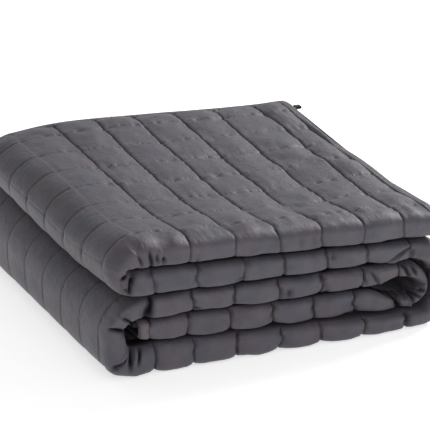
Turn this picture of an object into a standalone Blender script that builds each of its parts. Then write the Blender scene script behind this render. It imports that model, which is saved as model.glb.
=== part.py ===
"""A quilted weighted blanket, folded in four lengthwise and then back and forth into a stack of five panels.

The blanket is one closed sheet. Its section, four plies joined by the folds at the front and back, is swept
along the stack's path: panel A on top, round the left to B, round the right to E at the bottom, round the left
to C, and round the right to D, whose end lies inside the last left turn.

Metres, +Z up, the long front folds towards -Y. The origin is under the middle of the stack, on the surface.
Places along the stack are in quilting cells, from the seam columns and rows, and heights are in millimetres.
"""

import math
from collections import namedtuple

import bpy

MM = 0.001
CELL = 43.5 * MM
STACK_MIDDLE = (4.172, 2.964)  # column and row over the origin
FIRST_COLUMN, LAST_COLUMN = 1.0, 7.0
STEPS_PER_CELL = 4
PLAIN_CELLS = 2  # cells to a step on hidden faces
NEAR_END = 0.05  # cuts nearer than this to the end of a stretch are left out

# Heights between the panels, at the first and the last seam column, in mm.
Level = namedtuple("Level", "left right")
LEVELS = [
    Level(0.0, 0.0),
    Level(32.0, 18.0),
    Level(57.0, 43.0),
    Level(80.0, 65.0),
    Level(107.0, 86.0),
    Level(136.0, 117.0),
]
PANEL_GAP = 1.0  # mm between one panel and the next

# Where two panels part at a turn: the level between them, the columns from closed to open, and how far in mm the
# upper panel's underside rises and the lower panel's top sinks.
Parting = namedtuple("Parting", "level closed_at open_at rise fall")
PARTINGS = [
    Parting(2, 6.10, 7.00, 5.0, 11.0),
    Parting(1, 1.60, 1.10, 0.5, 1.5),
]

# How far the top sinks or rises from front to back: row, mm. Lower levels take a share of it.
SAG = [(-1.0, 1.0), (0.0, -1.0), (1.5, -4.5), (3.5, -1.0), (5.5, 7.5), (7.0, 7.5)]

# Where the top panel rises or sinks more: column, row, how far that reaches each way, mm.
Swell = namedtuple("Swell", "column row columns rows height")
SWELLS = [
    Swell(1.6, 2.8, 1.0, 1.3, 2.0),
    Swell(7.0, 2.8, 0.7, 1.8, 3.5),
    Swell(0.5, 6.6, 1.2, 1.8, -6.5),
    Swell(7.85, 6.5, 0.45, 0.8, 3.0),
]

# Each panel: the level under it, the row of its front fold's line at each end, how far the fold stands out, and how
# round it is above and below its middle: 2 is an ellipse, and more is squarer.
Panel = namedtuple("Panel", "level fold_left fold_right fold_reach round_top round_bottom face_up")
PANELS = {
    "A": Panel(4, 0.00, -0.02, 0.65, 1.75, 7.0, True),
    "B": Panel(3, -0.06, -0.12, 0.54, 4.0, 6.0, False),
    "C": Panel(2, -0.02, -0.16, 0.52, 4.0, 6.0, False),
    "D": Panel(1, 0.06, -0.18, 0.50, 4.0, 6.0, True),
    "E": Panel(0, 0.12, -0.40, 0.50, 4.0, 6.0, True),
}

# The path of the cloth, in seams from the last column of panel A. Runs lie flat, with a column for each seam, and
# turns go round to the next run. The pinches say how deep the seams of ply a's and ply d's outer faces press in.
Run = namedtuple("Run", "panel seam_from seam_to columns pinch_a pinch_d")
Turn = namedtuple(
    "Turn",
    "panels seam_from seam_to column_from column_to middle side reach_out reach_in"
    " round_top round_bottom round_in lead fold_round_a fold_round_d pinch_a pinch_d",
)
PATH = [
    Run("A", -0.95, 6, (7.95, 7.00, 6.01, 5.00, 3.98, 3.00, 2.00, 0.98), 0.62, 0.0),
    Turn("AB", 6, 8, 0.98, 1.18, 1.05, -1, 0.82, 0.42, 1.6, 2.6, 2.0, 0.34, 2.2, 3.5, 0.30, 0.0),
    Run("B", 8, 14, (1.18, 2.16, 3.20, 4.17, 5.20, 6.16, 7.17), 0.0, 0.0),
    Turn("BE", 14, 17, 7.17, 7.02, 7.30, 1, 0.80, 0.38, 3.4, 2.6, 2.4, 0.0, 4.0, 3.0, 0.0, 0.40),
    Run("E", 17, 23, (7.02, 5.99, 5.04, 4.11, 3.14, 2.16, 1.30), 0.0, 0.0),
    Turn("EC", 23, 26, 1.30, 1.09, 1.15, -1, 1.00, 0.50, 2.0, 3.5, 5.0, 0.0, 4.0, 2.6, 0.0, 0.30),
    Run("C", 26, 32, (1.09, 2.08, 3.06, 4.02, 5.05, 6.03, 6.93), 0.0, 0.0),
    Turn("CD", 32, 34, 6.93, 6.88, 7.02, 1, 0.60, 0.26, 2.2, 2.0, 2.2, 0.0, 2.6, 3.0, 0.0, 0.30),
    Run("D", 34, 40.08, (6.88, 5.86, 4.89, 3.94, 2.96, 1.99, 1.02, 0.94), 0.0, 0.0),
]
OUTER_FACE = {"AB": 1, "BE": 0, "EC": 0, "CD": 0}  # which side of the panel is outside in each turn
ROUTE_STEPS = 96
ROUTE_ROW = 2.0  # the lengths round a turn are measured in this row
END_SLANT = 0.02  # the free end on top runs out by this much a row from SLANT_ROW
SLANT_ROW = 3.0
NOSE_LENGTH = 0.20  # the hidden end's front corner is rounded over this much of the path
NOSE_THINNING = 0.15
NOSE_RECESS = 0.10

# The section. Sides of a panel run from 0, ply d's outer face, to 1, ply a's outer face.
PLY = 0.25
PLY_GAP = 0.02
PLY_THICKNESS = 0.145  # cells
FOLD_ROOM = 0.14  # between the outer plies' front fold and the one inside it, in cells
BACK_ROWS = {"hem_a": 6.75, "hem_b": 6.68, "fold": 6.62}
BACK_FOLD_REACH = 0.17
FOLD_STEPS = 6
INNER_FOLD_STEPS = 4
INNER_FOLD_ROUNDS = (2.0, 2.0)
BENDS = [row for row, _ in SAG[2:-1]]  # the rows where the hidden plies bend

HEM_WIDTH = 0.165
HEM_STEP = 0.01
HEM_PINCH = 0.35
FIRST_PLACE, LAST_PLACE = PATH[0].seam_from, PATH[-1].seam_to
HEM_PLACES = (FIRST_PLACE + HEM_WIDTH, LAST_PLACE - HEM_WIDTH)
SEAM_POWER = 0.6  # below 1 the cloth dips steeply beside a seam
ROW_SHARE = 0.55  # a row seam's depth beside a column seam's
FOLD_PINCH = 0.72
LEFT_OUT_OF_FOLD = (7, 24, 25, 33)  # seams that don't draw the front fold in
EASE = 0.5  # cells over which the seams' depth changes from one span to the next

# Creases across the front fold: seam place, half width, share of the ply pressed in.
Crease = namedtuple("Crease", "seam half_width depth")
CREASES = [
    Crease(7.35, 0.10, 0.60),
    Crease(14.05, 0.12, 0.50),
    Crease(23.65, 0.09, 0.70),
    Crease(24.90, 0.09, 0.60),
    Crease(32.20, 0.12, 0.50),
]

# The loop in the corner of the hem.
LOOP_ROW = 6.20
LOOP_SIDE = 0.875
LOOP_REACH = 7.5 * MM
LOOP_WIDTH = 5.0 * MM
LOOP_HEIGHT = 3.4 * MM
LOOP_STEPS = 6
RIBBON = 0.9 * MM
SEAT_GAP = 0.3 * MM

Station = namedtuple("Station", "v outer_row outer_side inner_row inner_side zone")


def mix(a, b, share):
    return a + (b - a) * share


def between(table, x):
    """The value at x of a table of (x, value) rows, on straight lines from one row to the next."""
    for (x0, y0), (x1, y1) in zip(table, table[1:]):
        if x <= x1:
            return mix(y0, y1, (x - x0) / (x1 - x0))
    return table[-1][1]


def rise(x, low, high):
    """A smooth step from 0 at low to 1 at high."""
    share = min(max((x - low) / (high - low), 0.0), 1.0)
    return share * share * (3.0 - 2.0 * share)


# --- the stack ---------------------------------------------------------------------------------------------


def level_height(index, column, row):
    share = (column - FIRST_COLUMN) / (LAST_COLUMN - FIRST_COLUMN)
    height = mix(LEVELS[index].left, LEVELS[index].right, share)
    height += between(SAG, row) * index / (len(LEVELS) - 1)
    if index == len(LEVELS) - 1:
        for swell in SWELLS:
            away = ((column - swell.column) / swell.columns) ** 2 + ((row - swell.row) / swell.rows) ** 2
            height += swell.height * math.exp(-away)
    return height


def parting(index, column):
    """How far the panels above and below a level lie from it, in mm."""
    above = below = PANEL_GAP / 2 if index else 0.0
    for part in PARTINGS:
        if part.level == index:
            share = rise(column, part.closed_at, part.open_at)
            above += part.rise * share
            below += part.fall * share
    return above, below


def panel_height(name, column, row, side):
    """The height in mm of a place in a panel, where side is 0 on ply d's face and 1 on ply a's."""
    panel = PANELS[name]
    bottom = level_height(panel.level, column, row) + parting(panel.level, column)[0]
    top = level_height(panel.level + 1, column, row) - parting(panel.level + 1, column)[1]
    return mix(bottom, top, side if panel.face_up else 1.0 - side)


def superellipse(angle, roundness):
    """Across and up, each from 0 to 1, at an angle above the middle of a rounded end."""
    across = max(math.cos(angle), 0.0) ** (2.0 / roundness)
    up = abs(math.sin(angle)) ** (2.0 / roundness)
    return across, math.copysign(up, angle)


def turn_place(turn, angle, column, row, side):
    """Column and height of a place in a turn: angle runs from a quarter turn down to minus a quarter turn."""
    share = side if OUTER_FACE[turn.panels] else 1.0 - side
    first, second = turn.panels
    upper_first = PANELS[first].level > PANELS[second].level
    upper_half = (angle > 0.0) == upper_first
    roundness = mix(turn.round_in, turn.round_top if upper_half else turn.round_bottom, share)
    across, up = superellipse(angle, roundness)
    column += turn.side * mix(turn.reach_in, turn.reach_out, share) * across
    height = mix(
        panel_height(second, column, row, side),
        panel_height(first, column, row, side),
        (up + 1.0) / 2.0,
    )
    return column, height


def turn_route(turn):
    """Points (length so far, angle, column) along the outside of a turn, its straight ends included."""
    side = OUTER_FACE[turn.panels]
    quarter = math.pi / 2
    places = [(quarter, turn.column_from)]
    places += [(quarter - math.pi * n / ROUTE_STEPS, turn.middle) for n in range(ROUTE_STEPS + 1)]
    places += [(-quarter, turn.column_to)]
    route, length, last = [], 0.0, None
    for angle, column in places:
        x, height = turn_place(turn, angle, column, ROUTE_ROW, side)
        here = (x * CELL, height * MM)
        length += math.dist(here, last) if last else 0.0
        route.append((length, angle, column))
        last = here
    return route


def turn_stop(turn, seam):
    """Angle and column at a seam place in a turn, by the length along its outside."""
    route = turn_route(turn)
    share = (seam - turn.seam_from) / (turn.seam_to - turn.seam_from)
    share -= turn.lead * share * (1.0 - share)
    wanted = share * route[-1][0]
    angle = between([(length, angle) for length, angle, _ in route], wanted)
    column = between([(length, column) for length, _, column in route], wanted)
    return angle, column


def span_at(seam):
    return next(span for span in PATH if seam <= span.seam_to + 1e-9)


def run_column(run, seam):
    seams = [run.seam_from, *range(math.floor(run.seam_from) + 1, math.ceil(run.seam_to)), run.seam_to]
    return between(list(zip(seams, run.columns)), seam)


def nose(seam):
    """How far a place has gone round the hidden end's corner: 0 before it, and 1 at the end."""
    share = min(max((seam - LAST_PLACE + NOSE_LENGTH) / NOSE_LENGTH, 0.0), 1.0)
    return 1.0 - math.sqrt(1.0 - share * share)


def panel_fold(name, column):
    """Row and reach of a panel's front fold at a column, and how round it is on ply a's and ply d's side."""
    panel = PANELS[name]
    across = (column - FIRST_COLUMN) / (LAST_COLUMN - FIRST_COLUMN)
    row = mix(panel.fold_left, panel.fold_right, across)
    if panel.face_up:
        return row, panel.fold_reach, panel.round_top, panel.round_bottom
    return row, panel.fold_reach, panel.round_bottom, panel.round_top


def fold_line(seam):
    """What panel_fold gives, at a seam place of the path."""
    span = span_at(seam)
    if isinstance(span, Run):
        row, *rest = panel_fold(span.panel, run_column(span, seam))
        return row + NOSE_RECESS * nose(seam), *rest
    share = (seam - span.seam_from) / (span.seam_to - span.seam_from)
    first = panel_fold(span.panels[0], span.column_from)
    second = panel_fold(span.panels[1], span.column_to)
    row, reach = (mix(a, b, 0.5) for a, b in zip(first[:2], second))
    middle = row, reach, span.fold_round_a, span.fold_round_d
    if share < 0.5:
        return tuple(mix(a, b, 2 * share) for a, b in zip(first, middle))
    return tuple(mix(a, b, 2 * share - 1) for a, b in zip(middle, second))


def make_column(seam):
    """A function that places (row, side) at one seam place of the path, in metres."""
    span = span_at(seam)
    if isinstance(span, Run):
        column = run_column(span, seam)
        past_last_seam = max(0.0, seam / FIRST_PLACE)
        height_share = 1.0 - NOSE_THINNING * nose(seam)

        def place(row, side):
            x = column + END_SLANT * (row - SLANT_ROW) * past_last_seam
            return x, panel_height(span.panel, column, row, 0.5 + (side - 0.5) * height_share)

    else:
        angle, column = turn_stop(span, seam)

        def place(row, side):
            return turn_place(span, angle, column, row, side)

    def to_metres(row, side):
        x, height = place(row, side)
        return ((x - STACK_MIDDLE[0]) * CELL, (row - STACK_MIDDLE[1]) * CELL, height * MM)

    return to_metres


# --- the section -------------------------------------------------------------------------------------------


def rows_between(first, last, steps_per_cell):
    """Row places from first to last, on the seams and at even steps between them."""
    steps = range(math.floor(first * steps_per_cell), math.ceil(last * steps_per_cell))
    inside = [n / steps_per_cell for n in steps]
    return [first] + [row for row in inside if first + NEAR_END < row < last - NEAR_END] + [last]


def fold_stations(stations, row, side, steps, turning, rounds, outer, inner):
    """Adds a fold's stations. outer and inner are its faces' (reach in cells, half height as a share)."""
    for n in range(1, steps):
        angle = turning * math.pi * (n / steps - 0.5)
        back, up = superellipse(angle, rounds[0] if angle > 0.0 else rounds[1])
        back *= turning
        stations.append(
            Station(
                n / steps,
                row + outer[0] * back,
                side + outer[1] * up,
                row + inner[0] * back,
                side + inner[1] * up,
                "fold" if outer[0] > inner[0] and turning < 0 else "plain",
            )
        )


def section_stations(fold_row, fold_reach, round_a, round_d):
    """The sheet's section, from ply a's hem round to ply b's, with its outer and inner face at each station."""
    stations = []
    hem_row, hem_line = BACK_ROWS["hem_a"], BACK_ROWS["hem_a"] - HEM_WIDTH
    first_cell = [mix(fold_row, 1.0, n / STEPS_PER_CELL) for n in range(STEPS_PER_CELL)]
    ply_rows = first_cell + rows_between(1.0, hem_line, STEPS_PER_CELL)

    def seam_place(row):
        return row if row >= 1.0 else (row - fold_row) / (1.0 - fold_row)

    for row in [hem_row, hem_line + HEM_STEP] + ply_rows[::-1]:
        stations.append(Station(seam_place(row), row, 1.0, row, 3 * PLY + PLY_GAP, "a"))
    reaches = (fold_reach, 0.5), (fold_reach - PLY_THICKNESS, PLY + PLY_GAP)
    fold_stations(stations, fold_row, 0.5, FOLD_STEPS, -1, (round_a, round_d), *reaches)
    back_row = BACK_ROWS["fold"]
    for row in [row for row in ply_rows if row < back_row - NEAR_END] + [back_row]:
        stations.append(Station(seam_place(row), row, 0.0, row, PLY - PLY_GAP, "d"))
    half = PLY - PLY_GAP / 2
    reaches = (BACK_FOLD_REACH, half), (PLY_GAP, PLY_GAP)
    fold_stations(stations, back_row, half, INNER_FOLD_STEPS, 1, INNER_FOLD_ROUNDS, *reaches)
    for row in [back_row] + BENDS[::-1] + [fold_row]:
        stations.append(Station(0.0, row, 2 * PLY - PLY_GAP, row, PLY + PLY_GAP, "plain"))
    nested = fold_reach - PLY_THICKNESS - FOLD_ROOM
    reaches = (nested - PLY_THICKNESS, -PLY_GAP), (nested, PLY_GAP - PLY)
    fold_stations(stations, fold_row, 0.5, INNER_FOLD_STEPS, -1, INNER_FOLD_ROUNDS, *reaches)
    for row in [fold_row] + BENDS + [BACK_ROWS["hem_b"]]:
        stations.append(Station(0.0, row, 2 * PLY + PLY_GAP, row, 3 * PLY - PLY_GAP, "plain"))
    return stations


# --- quilting ----------------------------------------------------------------------------------------------


def seam_press(place):
    """1 on a seam and 0 in the middle of a cell, steep beside the seam."""
    return 1.0 - math.sin(math.pi * (place % 1.0)) ** SEAM_POWER


def face_pinch(seam, zone):
    """How deep the seams of ply a's or d's face press in here, eased from each span to the next."""
    index = PATH.index(span_at(seam))
    span = PATH[index]
    pinch = getattr(span, "pinch_" + zone)
    for neighbour, distance in ((index - 1, seam - span.seam_from), (index + 1, span.seam_to - seam)):
        if 0 <= neighbour < len(PATH) and distance < EASE:
            halfway = mix(pinch, getattr(PATH[neighbour], "pinch_" + zone), 0.5)
            pinch = mix(halfway, pinch, distance / EASE)
    return pinch


def crease_press(seam):
    press = 0.0
    for crease in CREASES:
        near = 1.0 - abs(seam - crease.seam) / crease.half_width
        press = max(press, crease.depth * max(0.0, near))
    return press


def outer_press(seam, station):
    """The share of the ply's thickness by which its outer face is pressed in."""
    if station.zone == "plain":
        return 0.0
    column_seam = seam_press(seam) if seam > HEM_PLACES[0] else 0.0
    if station.zone == "fold":
        if round(seam) in LEFT_OUT_OF_FOLD:
            column_seam = 0.0
        round_fold = math.sin(math.pi * station.v)
        edge = face_pinch(seam, "a" if station.v < 0.5 else "d")
        pinch = mix(edge, FOLD_PINCH, round_fold)
        return max(pinch * column_seam, crease_press(seam) * round_fold)
    return face_pinch(seam, station.zone) * max(column_seam, ROW_SHARE * seam_press(station.v))


def in_hem(seam, station):
    """The hems are flat and thinner than the filled cloth beside them."""
    at_end = seam < HEM_PLACES[0] or seam > HEM_PLACES[1]
    return at_end or (station.zone == "a" and station.outer_row > BACK_ROWS["hem_a"] - HEM_WIDTH)


# --- meshes ------------------------------------------------------------------------------------------------


def seam_places():
    """Where the path is cut across: four places a cell, the hems' inner edges, and round the creases."""
    first, last = FIRST_PLACE, LAST_PLACE
    places = {first, last}
    for line, step in zip(HEM_PLACES, (-HEM_STEP, HEM_STEP)):
        places |= {line, line + step}
    steps = range(math.ceil(HEM_PLACES[0] * STEPS_PER_CELL), math.floor(HEM_PLACES[1] * STEPS_PER_CELL) + 1)
    places |= {n / STEPS_PER_CELL for n in steps}
    for crease in CREASES:
        places |= {crease.seam - crease.half_width, crease.seam, crease.seam + crease.half_width}
    return sorted(places)


def plain_places(places):
    """The cuts across the path that the hidden faces need: few along a run, and more round a turn."""
    kept = {0, len(places) - 1}
    for line, step in zip(HEM_PLACES, (-HEM_STEP, HEM_STEP)):
        kept |= {places.index(line), places.index(line + step)}
    for span in PATH:
        cells = PLAIN_CELLS if isinstance(span, Run) else 2 / STEPS_PER_CELL
        start = max(span.seam_from, 0)
        steps = [start + n * cells for n in range(int((span.seam_to - start) / cells) + 1)]
        kept |= {places.index(seam) for seam in steps if seam in places}
    return kept


def plain_stations(stations):
    """The stations that the hidden faces need: where they bend, and every other one round the front fold."""
    kept = {0, 1, 2}
    for index, station in enumerate(stations):
        round_fold = station.zone == "fold" and round(station.v * FOLD_STEPS) % 2 == 0
        if station.zone == "plain" or station.outer_row in BENDS or round_fold:
            kept.add(index)
    return kept


def blocks(places, stations):
    """Blocks of the grid: (first and last place, first and last station, whether the outer face shows there)."""
    zones = [station.zone for station in stations]
    last_a, first_d, last_d = zones.index("fold") - 1, zones.index("d"), zones.index("plain") - 1
    for span in PATH:
        across = places.index(span.seam_from), places.index(span.seam_to)
        yield *across, 0, last_a, span.pinch_a > 0.0
        yield *across, last_a, first_d, True
        yield *across, first_d, last_d, span.pinch_d > 0.0
        yield *across, last_d, len(zones) - 1, False


def tiles(block, kept_places, kept_stations, fine):
    """The tiles of one block: every step of the grid where it is fine, and only the kept steps elsewhere."""
    first, last, start, end, shows = block
    across = [n for n in range(first, last + 1) if fine and shows or n in kept_places or n in (first, last)]
    along = [n for n in range(start, end + 1) if fine and shows or n in kept_stations or n in (start, end)]
    for i0, i1 in zip(across, across[1:]):
        for j0, j1 in zip(along, along[1:]):
            yield i0, i1, j0, j1


def ring(i0, i1, j0, j1):
    """The grid points round a tile, in order."""
    points = [(i, j0) for i in range(i0, i1)]
    points += [(i1, j) for j in range(j0, j1)]
    points += [(i, j1) for i in range(i1, i0, -1)]
    return points + [(i0, j) for j in range(j1, j0, -1)]


def sheet_faces(places, stations):
    """The faces of the closed sheet, as rings of (layer, place, station), with layer 0 outside and 1 inside."""
    kept_places, kept_stations = plain_places(places), plain_stations(stations)
    faces = []
    used = (set(), set())
    for layer in (0, 1):
        found = [
            tile
            for block in blocks(places, stations)
            for tile in tiles(block, kept_places, kept_stations, fine=layer == 0)
        ]
        for i0, i1, j0, j1 in found:
            used[layer].update(((i0, j0), (i1, j0), (i1, j1), (i0, j1)))
        for tile in found:
            points = [(layer, *point) for point in ring(*tile) if point in used[layer]]
            faces.append(points[::-1] if layer else points)
    rim = ring(0, len(places) - 1, 0, len(stations) - 1)
    rim.append(rim[0])
    shared = [n for n, point in enumerate(rim) if point in used[0] and point in used[1]]
    for here, following in zip(shared, shared[1:]):
        stretch = rim[here : following + 1]
        outer = [(0, *point) for point in stretch[::-1] if point in used[0]]
        faces.append(outer + [(1, *point) for point in stretch if point in used[1]])
    return faces


def make_quilt():
    places = seam_places()
    points = {}
    for i, seam in enumerate(places):
        place = make_column(seam)
        stations = section_stations(*fold_line(seam))
        for j, station in enumerate(stations):
            outer = place(station.outer_row, station.outer_side)
            inner = place(station.inner_row, station.inner_side)
            hem = HEM_PINCH if in_hem(seam, station) else 0.0
            press = max(outer_press(seam, station), hem)
            points[0, i, j] = [mix(a, b, press) for a, b in zip(outer, inner)]
            points[1, i, j] = [mix(b, a, hem) for a, b in zip(outer, inner)]
    faces = sheet_faces(places, stations)
    used = sorted({point for face in faces for point in face})
    number = {point: n for n, point in enumerate(used)}
    mesh = bpy.data.meshes.new("quilt")
    mesh.from_pydata(
        [points[point] for point in used], [], [[number[point] for point in face] for face in faces]
    )
    mesh.shade_smooth()
    return bpy.data.objects.new("quilt", mesh)


def make_corner_loop():
    """A ribbon bent double: two round-ended outlines, one inside the other, as wide as the ribbon."""
    curve = bpy.data.curves.new("corner_loop", "CURVE")
    curve.dimensions = "2D"
    curve.fill_mode = "BOTH"
    curve.extrude = LOOP_WIDTH / 2
    for inset in (0.0, RIBBON):
        radius = LOOP_HEIGHT / 2 - inset
        middle = LOOP_REACH - LOOP_HEIGHT / 2
        points = [(inset, -radius), (inset, radius)]
        points += [
            (middle + radius * math.sin(math.pi * n / LOOP_STEPS), radius * math.cos(math.pi * n / LOOP_STEPS))
            for n in range(LOOP_STEPS + 1)
        ]
        spline = curve.splines.new("POLY")
        spline.points.add(len(points) - 1)
        for point, (x, y) in zip(spline.points, points):
            point.co = (x, y, 0.0, 1.0)
        spline.use_cyclic_u = True
    loop = bpy.data.objects.new("corner_loop", curve)
    x, y, z = make_column(FIRST_PLACE)(LOOP_ROW, LOOP_SIDE)
    loop.location = (x + SEAT_GAP, y, z)
    loop.rotation_euler = (math.pi / 2, 0.0, -math.atan(END_SLANT))
    return loop


def add_material(obj, colour, roughness):
    material = bpy.data.materials.new(obj.name)
    material.use_nodes = True
    shader = material.node_tree.nodes["Principled BSDF"]
    shader.inputs["Base Color"].default_value = (*colour, 1.0)
    shader.inputs["Roughness"].default_value = roughness
    shader.inputs["Metallic"].default_value = 0.0
    obj.data.materials.append(material)


def main():
    for obj in list(bpy.data.objects):
        bpy.data.objects.remove(obj, do_unlink=True)
    parts = bpy.data.collections.new("weighted_blanket")
    bpy.context.scene.collection.children.link(parts)
    quilt = make_quilt()
    add_material(quilt, (0.095, 0.09, 0.10), 0.62)
    parts.objects.link(quilt)
    loop = make_corner_loop()
    add_material(loop, (0.02, 0.02, 0.022), 0.55)
    parts.objects.link(loop)


main()
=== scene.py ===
"""A quilted weighted blanket of dark sateen, folded in four lengthwise, then back and forth in five panels.

Places on the cloth are in quilting cells: along the stack's path, from the last seam column of the top panel,
and round the section, from the front fold's upper seam. Heights and depths are in millimetres unless a name
says so.
"""

import math
from collections import namedtuple

import bpy
import numpy as np
from mathutils import Matrix, Vector


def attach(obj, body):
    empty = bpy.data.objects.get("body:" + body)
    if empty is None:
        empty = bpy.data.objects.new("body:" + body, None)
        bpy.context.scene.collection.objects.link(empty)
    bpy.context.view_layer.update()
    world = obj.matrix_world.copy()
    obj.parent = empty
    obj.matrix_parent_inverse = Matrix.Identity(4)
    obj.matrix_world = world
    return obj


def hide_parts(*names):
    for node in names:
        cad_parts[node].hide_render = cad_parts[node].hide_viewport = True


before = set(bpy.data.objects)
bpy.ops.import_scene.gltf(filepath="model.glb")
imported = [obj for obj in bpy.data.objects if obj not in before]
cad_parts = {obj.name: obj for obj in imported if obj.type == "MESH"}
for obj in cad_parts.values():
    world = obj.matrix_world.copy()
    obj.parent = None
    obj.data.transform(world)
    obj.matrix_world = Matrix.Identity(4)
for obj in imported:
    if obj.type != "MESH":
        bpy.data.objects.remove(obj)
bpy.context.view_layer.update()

MM = 0.001
CELL = 43.5 * MM
STACK_MIDDLE = (4.172, 2.964)  # column and row over the origin
FIRST_COLUMN, LAST_COLUMN = 1.0, 7.0

# --- the stack ---------------------------------------------------------------------------------------------

# Heights between the panels, at the first and the last seam column.
Level = namedtuple("Level", "left right")
LEVELS = [
    Level(0.0, 0.0),
    Level(32.0, 18.0),
    Level(57.0, 43.0),
    Level(80.0, 65.0),
    Level(107.0, 86.0),
    Level(136.0, 117.0),
]
PANEL_GAP = 1.0

# Where two panels part at a turn: the level between them, the columns from closed to open, and how far in mm
# the upper panel's underside rises and the lower panel's top sinks.
Parting = namedtuple("Parting", "level closed_at open_at rise fall")
PARTINGS = [Parting(2, 6.10, 7.00, 5.0, 13.0), Parting(1, 1.60, 1.10, 0.5, 1.5)]

# How far the top sinks or rises from front to back: row, mm. Lower levels take a share of it.
SAG = [(-1.0, 1.0), (0.0, -1.2), (1.5, -6.3), (3.5, -3.2), (5.4, 4.8), (6.5, 8.6), (7.0, 5.5)]

# Where the top panel rises or sinks more: column, row, how far that reaches each way, mm.
Swell = namedtuple("Swell", "column row columns rows height")
SWELLS = [
    Swell(1.6, 2.8, 1.0, 1.3, 3.0),
    Swell(7.0, 2.8, 0.7, 1.8, 3.5),
    Swell(5.0, 0.9, 1.0, 0.8, -2.5),
    Swell(0.5, 6.6, 1.2, 1.8, -10.5),
    Swell(7.85, 6.5, 0.45, 0.8, 2.0),
    Swell(8.0, 2.5, 1.0, 1.3, 5.5),
]

Panel = namedtuple("Panel", "level fold_left fold_right fold_reach round_top round_bottom face_up")
PANELS = {
    "A": Panel(4, 0.00, -0.02, 0.65, 2.05, 6.0, True),
    "B": Panel(3, -0.06, -0.12, 0.54, 4.0, 6.0, False),
    "C": Panel(2, -0.02, -0.16, 0.52, 4.0, 6.0, False),
    "D": Panel(1, 0.06, -0.18, 0.50, 4.0, 6.0, True),
    "E": Panel(0, 0.12, -0.40, 0.50, 4.0, 6.0, True),
}

# The path of the cloth: runs lie flat and turns go round to the next run.
Run = namedtuple("Run", "panel seam_from seam_to columns")
Turn = namedtuple(
    "Turn",
    "panels seam_from seam_to column_from column_to middle side reach_out reach_in"
    " round_top round_bottom round_in lead fold_round_a fold_round_d",
)
PATH = [
    Run("A", -0.95, 6, (7.95, 7.00, 6.01, 5.00, 3.98, 3.00, 2.00, 0.98)),
    Turn("AB", 6, 8, 0.98, 1.18, 0.98, -1, 0.75, 0.35, 1.6, 2.6, 2.0, 0.34, 2.2, 3.5),
    Run("B", 8, 14, (1.18, 2.16, 3.20, 4.17, 5.20, 6.16, 7.17)),
    Turn("BE", 14, 17, 7.17, 7.02, 7.30, 1, 0.80, 0.40, 3.4, 2.6, 2.4, 0.0, 4.0, 3.0),
    Run("E", 17, 23, (7.02, 5.99, 5.04, 4.11, 3.14, 2.16, 1.30)),
    Turn("EC", 23, 26, 1.30, 1.09, 1.09, -1, 0.94, 0.44, 2.0, 3.5, 5.0, 0.0, 4.0, 2.6),
    Run("C", 26, 32, (1.09, 2.08, 3.06, 4.02, 5.05, 6.03, 6.93)),
    Turn("CD", 32, 34, 6.93, 6.88, 7.02, 1, 0.60, 0.43, 2.2, 2.0, 2.2, 0.0, 2.6, 3.0),
    Run("D", 34, 40.08, (6.88, 5.86, 4.89, 3.94, 2.96, 1.99, 1.02, 0.94)),
]
OUTER_FACE = {"AB": 1, "BE": 0, "EC": 0, "CD": 0}  # which side of the panel is outside in each turn
END_SLANT = 0.02  # the free end on top runs out by this much a row
NOSE_LENGTH = 0.20  # the hidden end's corners are rounded over this much of the path
NOSE_THINNING = 0.15
NOSE_RECESS = 0.10
SLANT_ROW = 3.0
ROUTE_STEPS = 400
ROUTE_ROW = 2.0

# --- the section -------------------------------------------------------------------------------------------

PLY = 0.25  # a ply's share of its panel
PLY_GAP = 0.02
PLY_THICKNESS = 0.145  # cells
FOLD_MIDDLE = -0.5  # round the cloth, between ply a and ply d
CREASE_ROOM = 0.16  # between the outer plies' front fold and the one inside it
# Rows where plies a and b end in a hem, and where the back fold starts.
BACK_ROWS = {"hem_a": 6.75, "hem_b": 6.68, "fold": 6.62}
BACK_FOLD_REACH = 0.17
HEM_WIDTH = 0.165
HEM_PINCH = 0.35  # share of the ply taken from each face in the hem
HEM_EDGE = 0.03  # how far in the hem's edge is rounded
HEM_EDGE_LINES = (0.0, 0.004, 0.012, HEM_EDGE)  # where grid lines lie to round it
BESIDE_HEM_LINE = 0.02  # where grid lines lie beside its stitched line
HEM_LINE_WIDTH = 0.015
HEM_END = HEM_WIDTH + 0.012
HEM_TINT_FADE = 0.03
HEM_EDGE_PINCH = 0.49
HEM_LINE_PINCH = 0.43
HIDDEN_HEM_WIDTH = 0.21  # the hidden end's hem is paler and browner
FIRST_PLACE, LAST_PLACE = PATH[0].seam_from, PATH[-1].seam_to
HEM_LINE_FIRST = FIRST_PLACE + HEM_WIDTH
HEM_LINE_LAST = LAST_PLACE - HIDDEN_HEM_WIDTH
HEM_LINE_BACK = BACK_ROWS["hem_a"] - HEM_WIDTH
BEYOND_HEMS = 9.0  # cells
LEAST_THICKNESS = 1e-6  # m, for a safe division

LINES_PER_CELL = 18
CREASED_SPANS = [
    (5.5, 6.45),
    (7.1, 7.65),
    (13.3, 14.15),
    (23.2, 24.2),
    (24.7, 26.15),
    (30.9, 31.5),
    (32.0, 34.4),
]
CREASED_LINES = 3  # times as many lines cross the fold there
FOLD_LINES = 56
FOLD_HALF_HEIGHT = 0.55  # half a fold's height beside its reach
BACK_FOLD_LINES = 8
NESTED_FOLD_LINES = 4
FOLD_ANGLES = 721
SAME_LINE = 0.006  # lines nearer together than this are one, cells
LINE_SLACK, ON_LINE, ON_STEP = 1e-6, 1e-5, 1e-4
NO_STEPS = 99.0  # longer than any ply, so that no even steps are kept
LAST_ROW_SEAM = 6.0
HEM_A_ROWS_FROM, HEM_B_ROWS_FROM = 6.2, 6.35  # the hems have finer faces beyond these rows
COARSE_FOLD_STEP = 6
NEAR_SEAM = (0.014, 0.034)  # where grid lines lie beside a seam, cells
BEND_SEAM = 6  # the seam at the top's left edge shows as a bend
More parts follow.
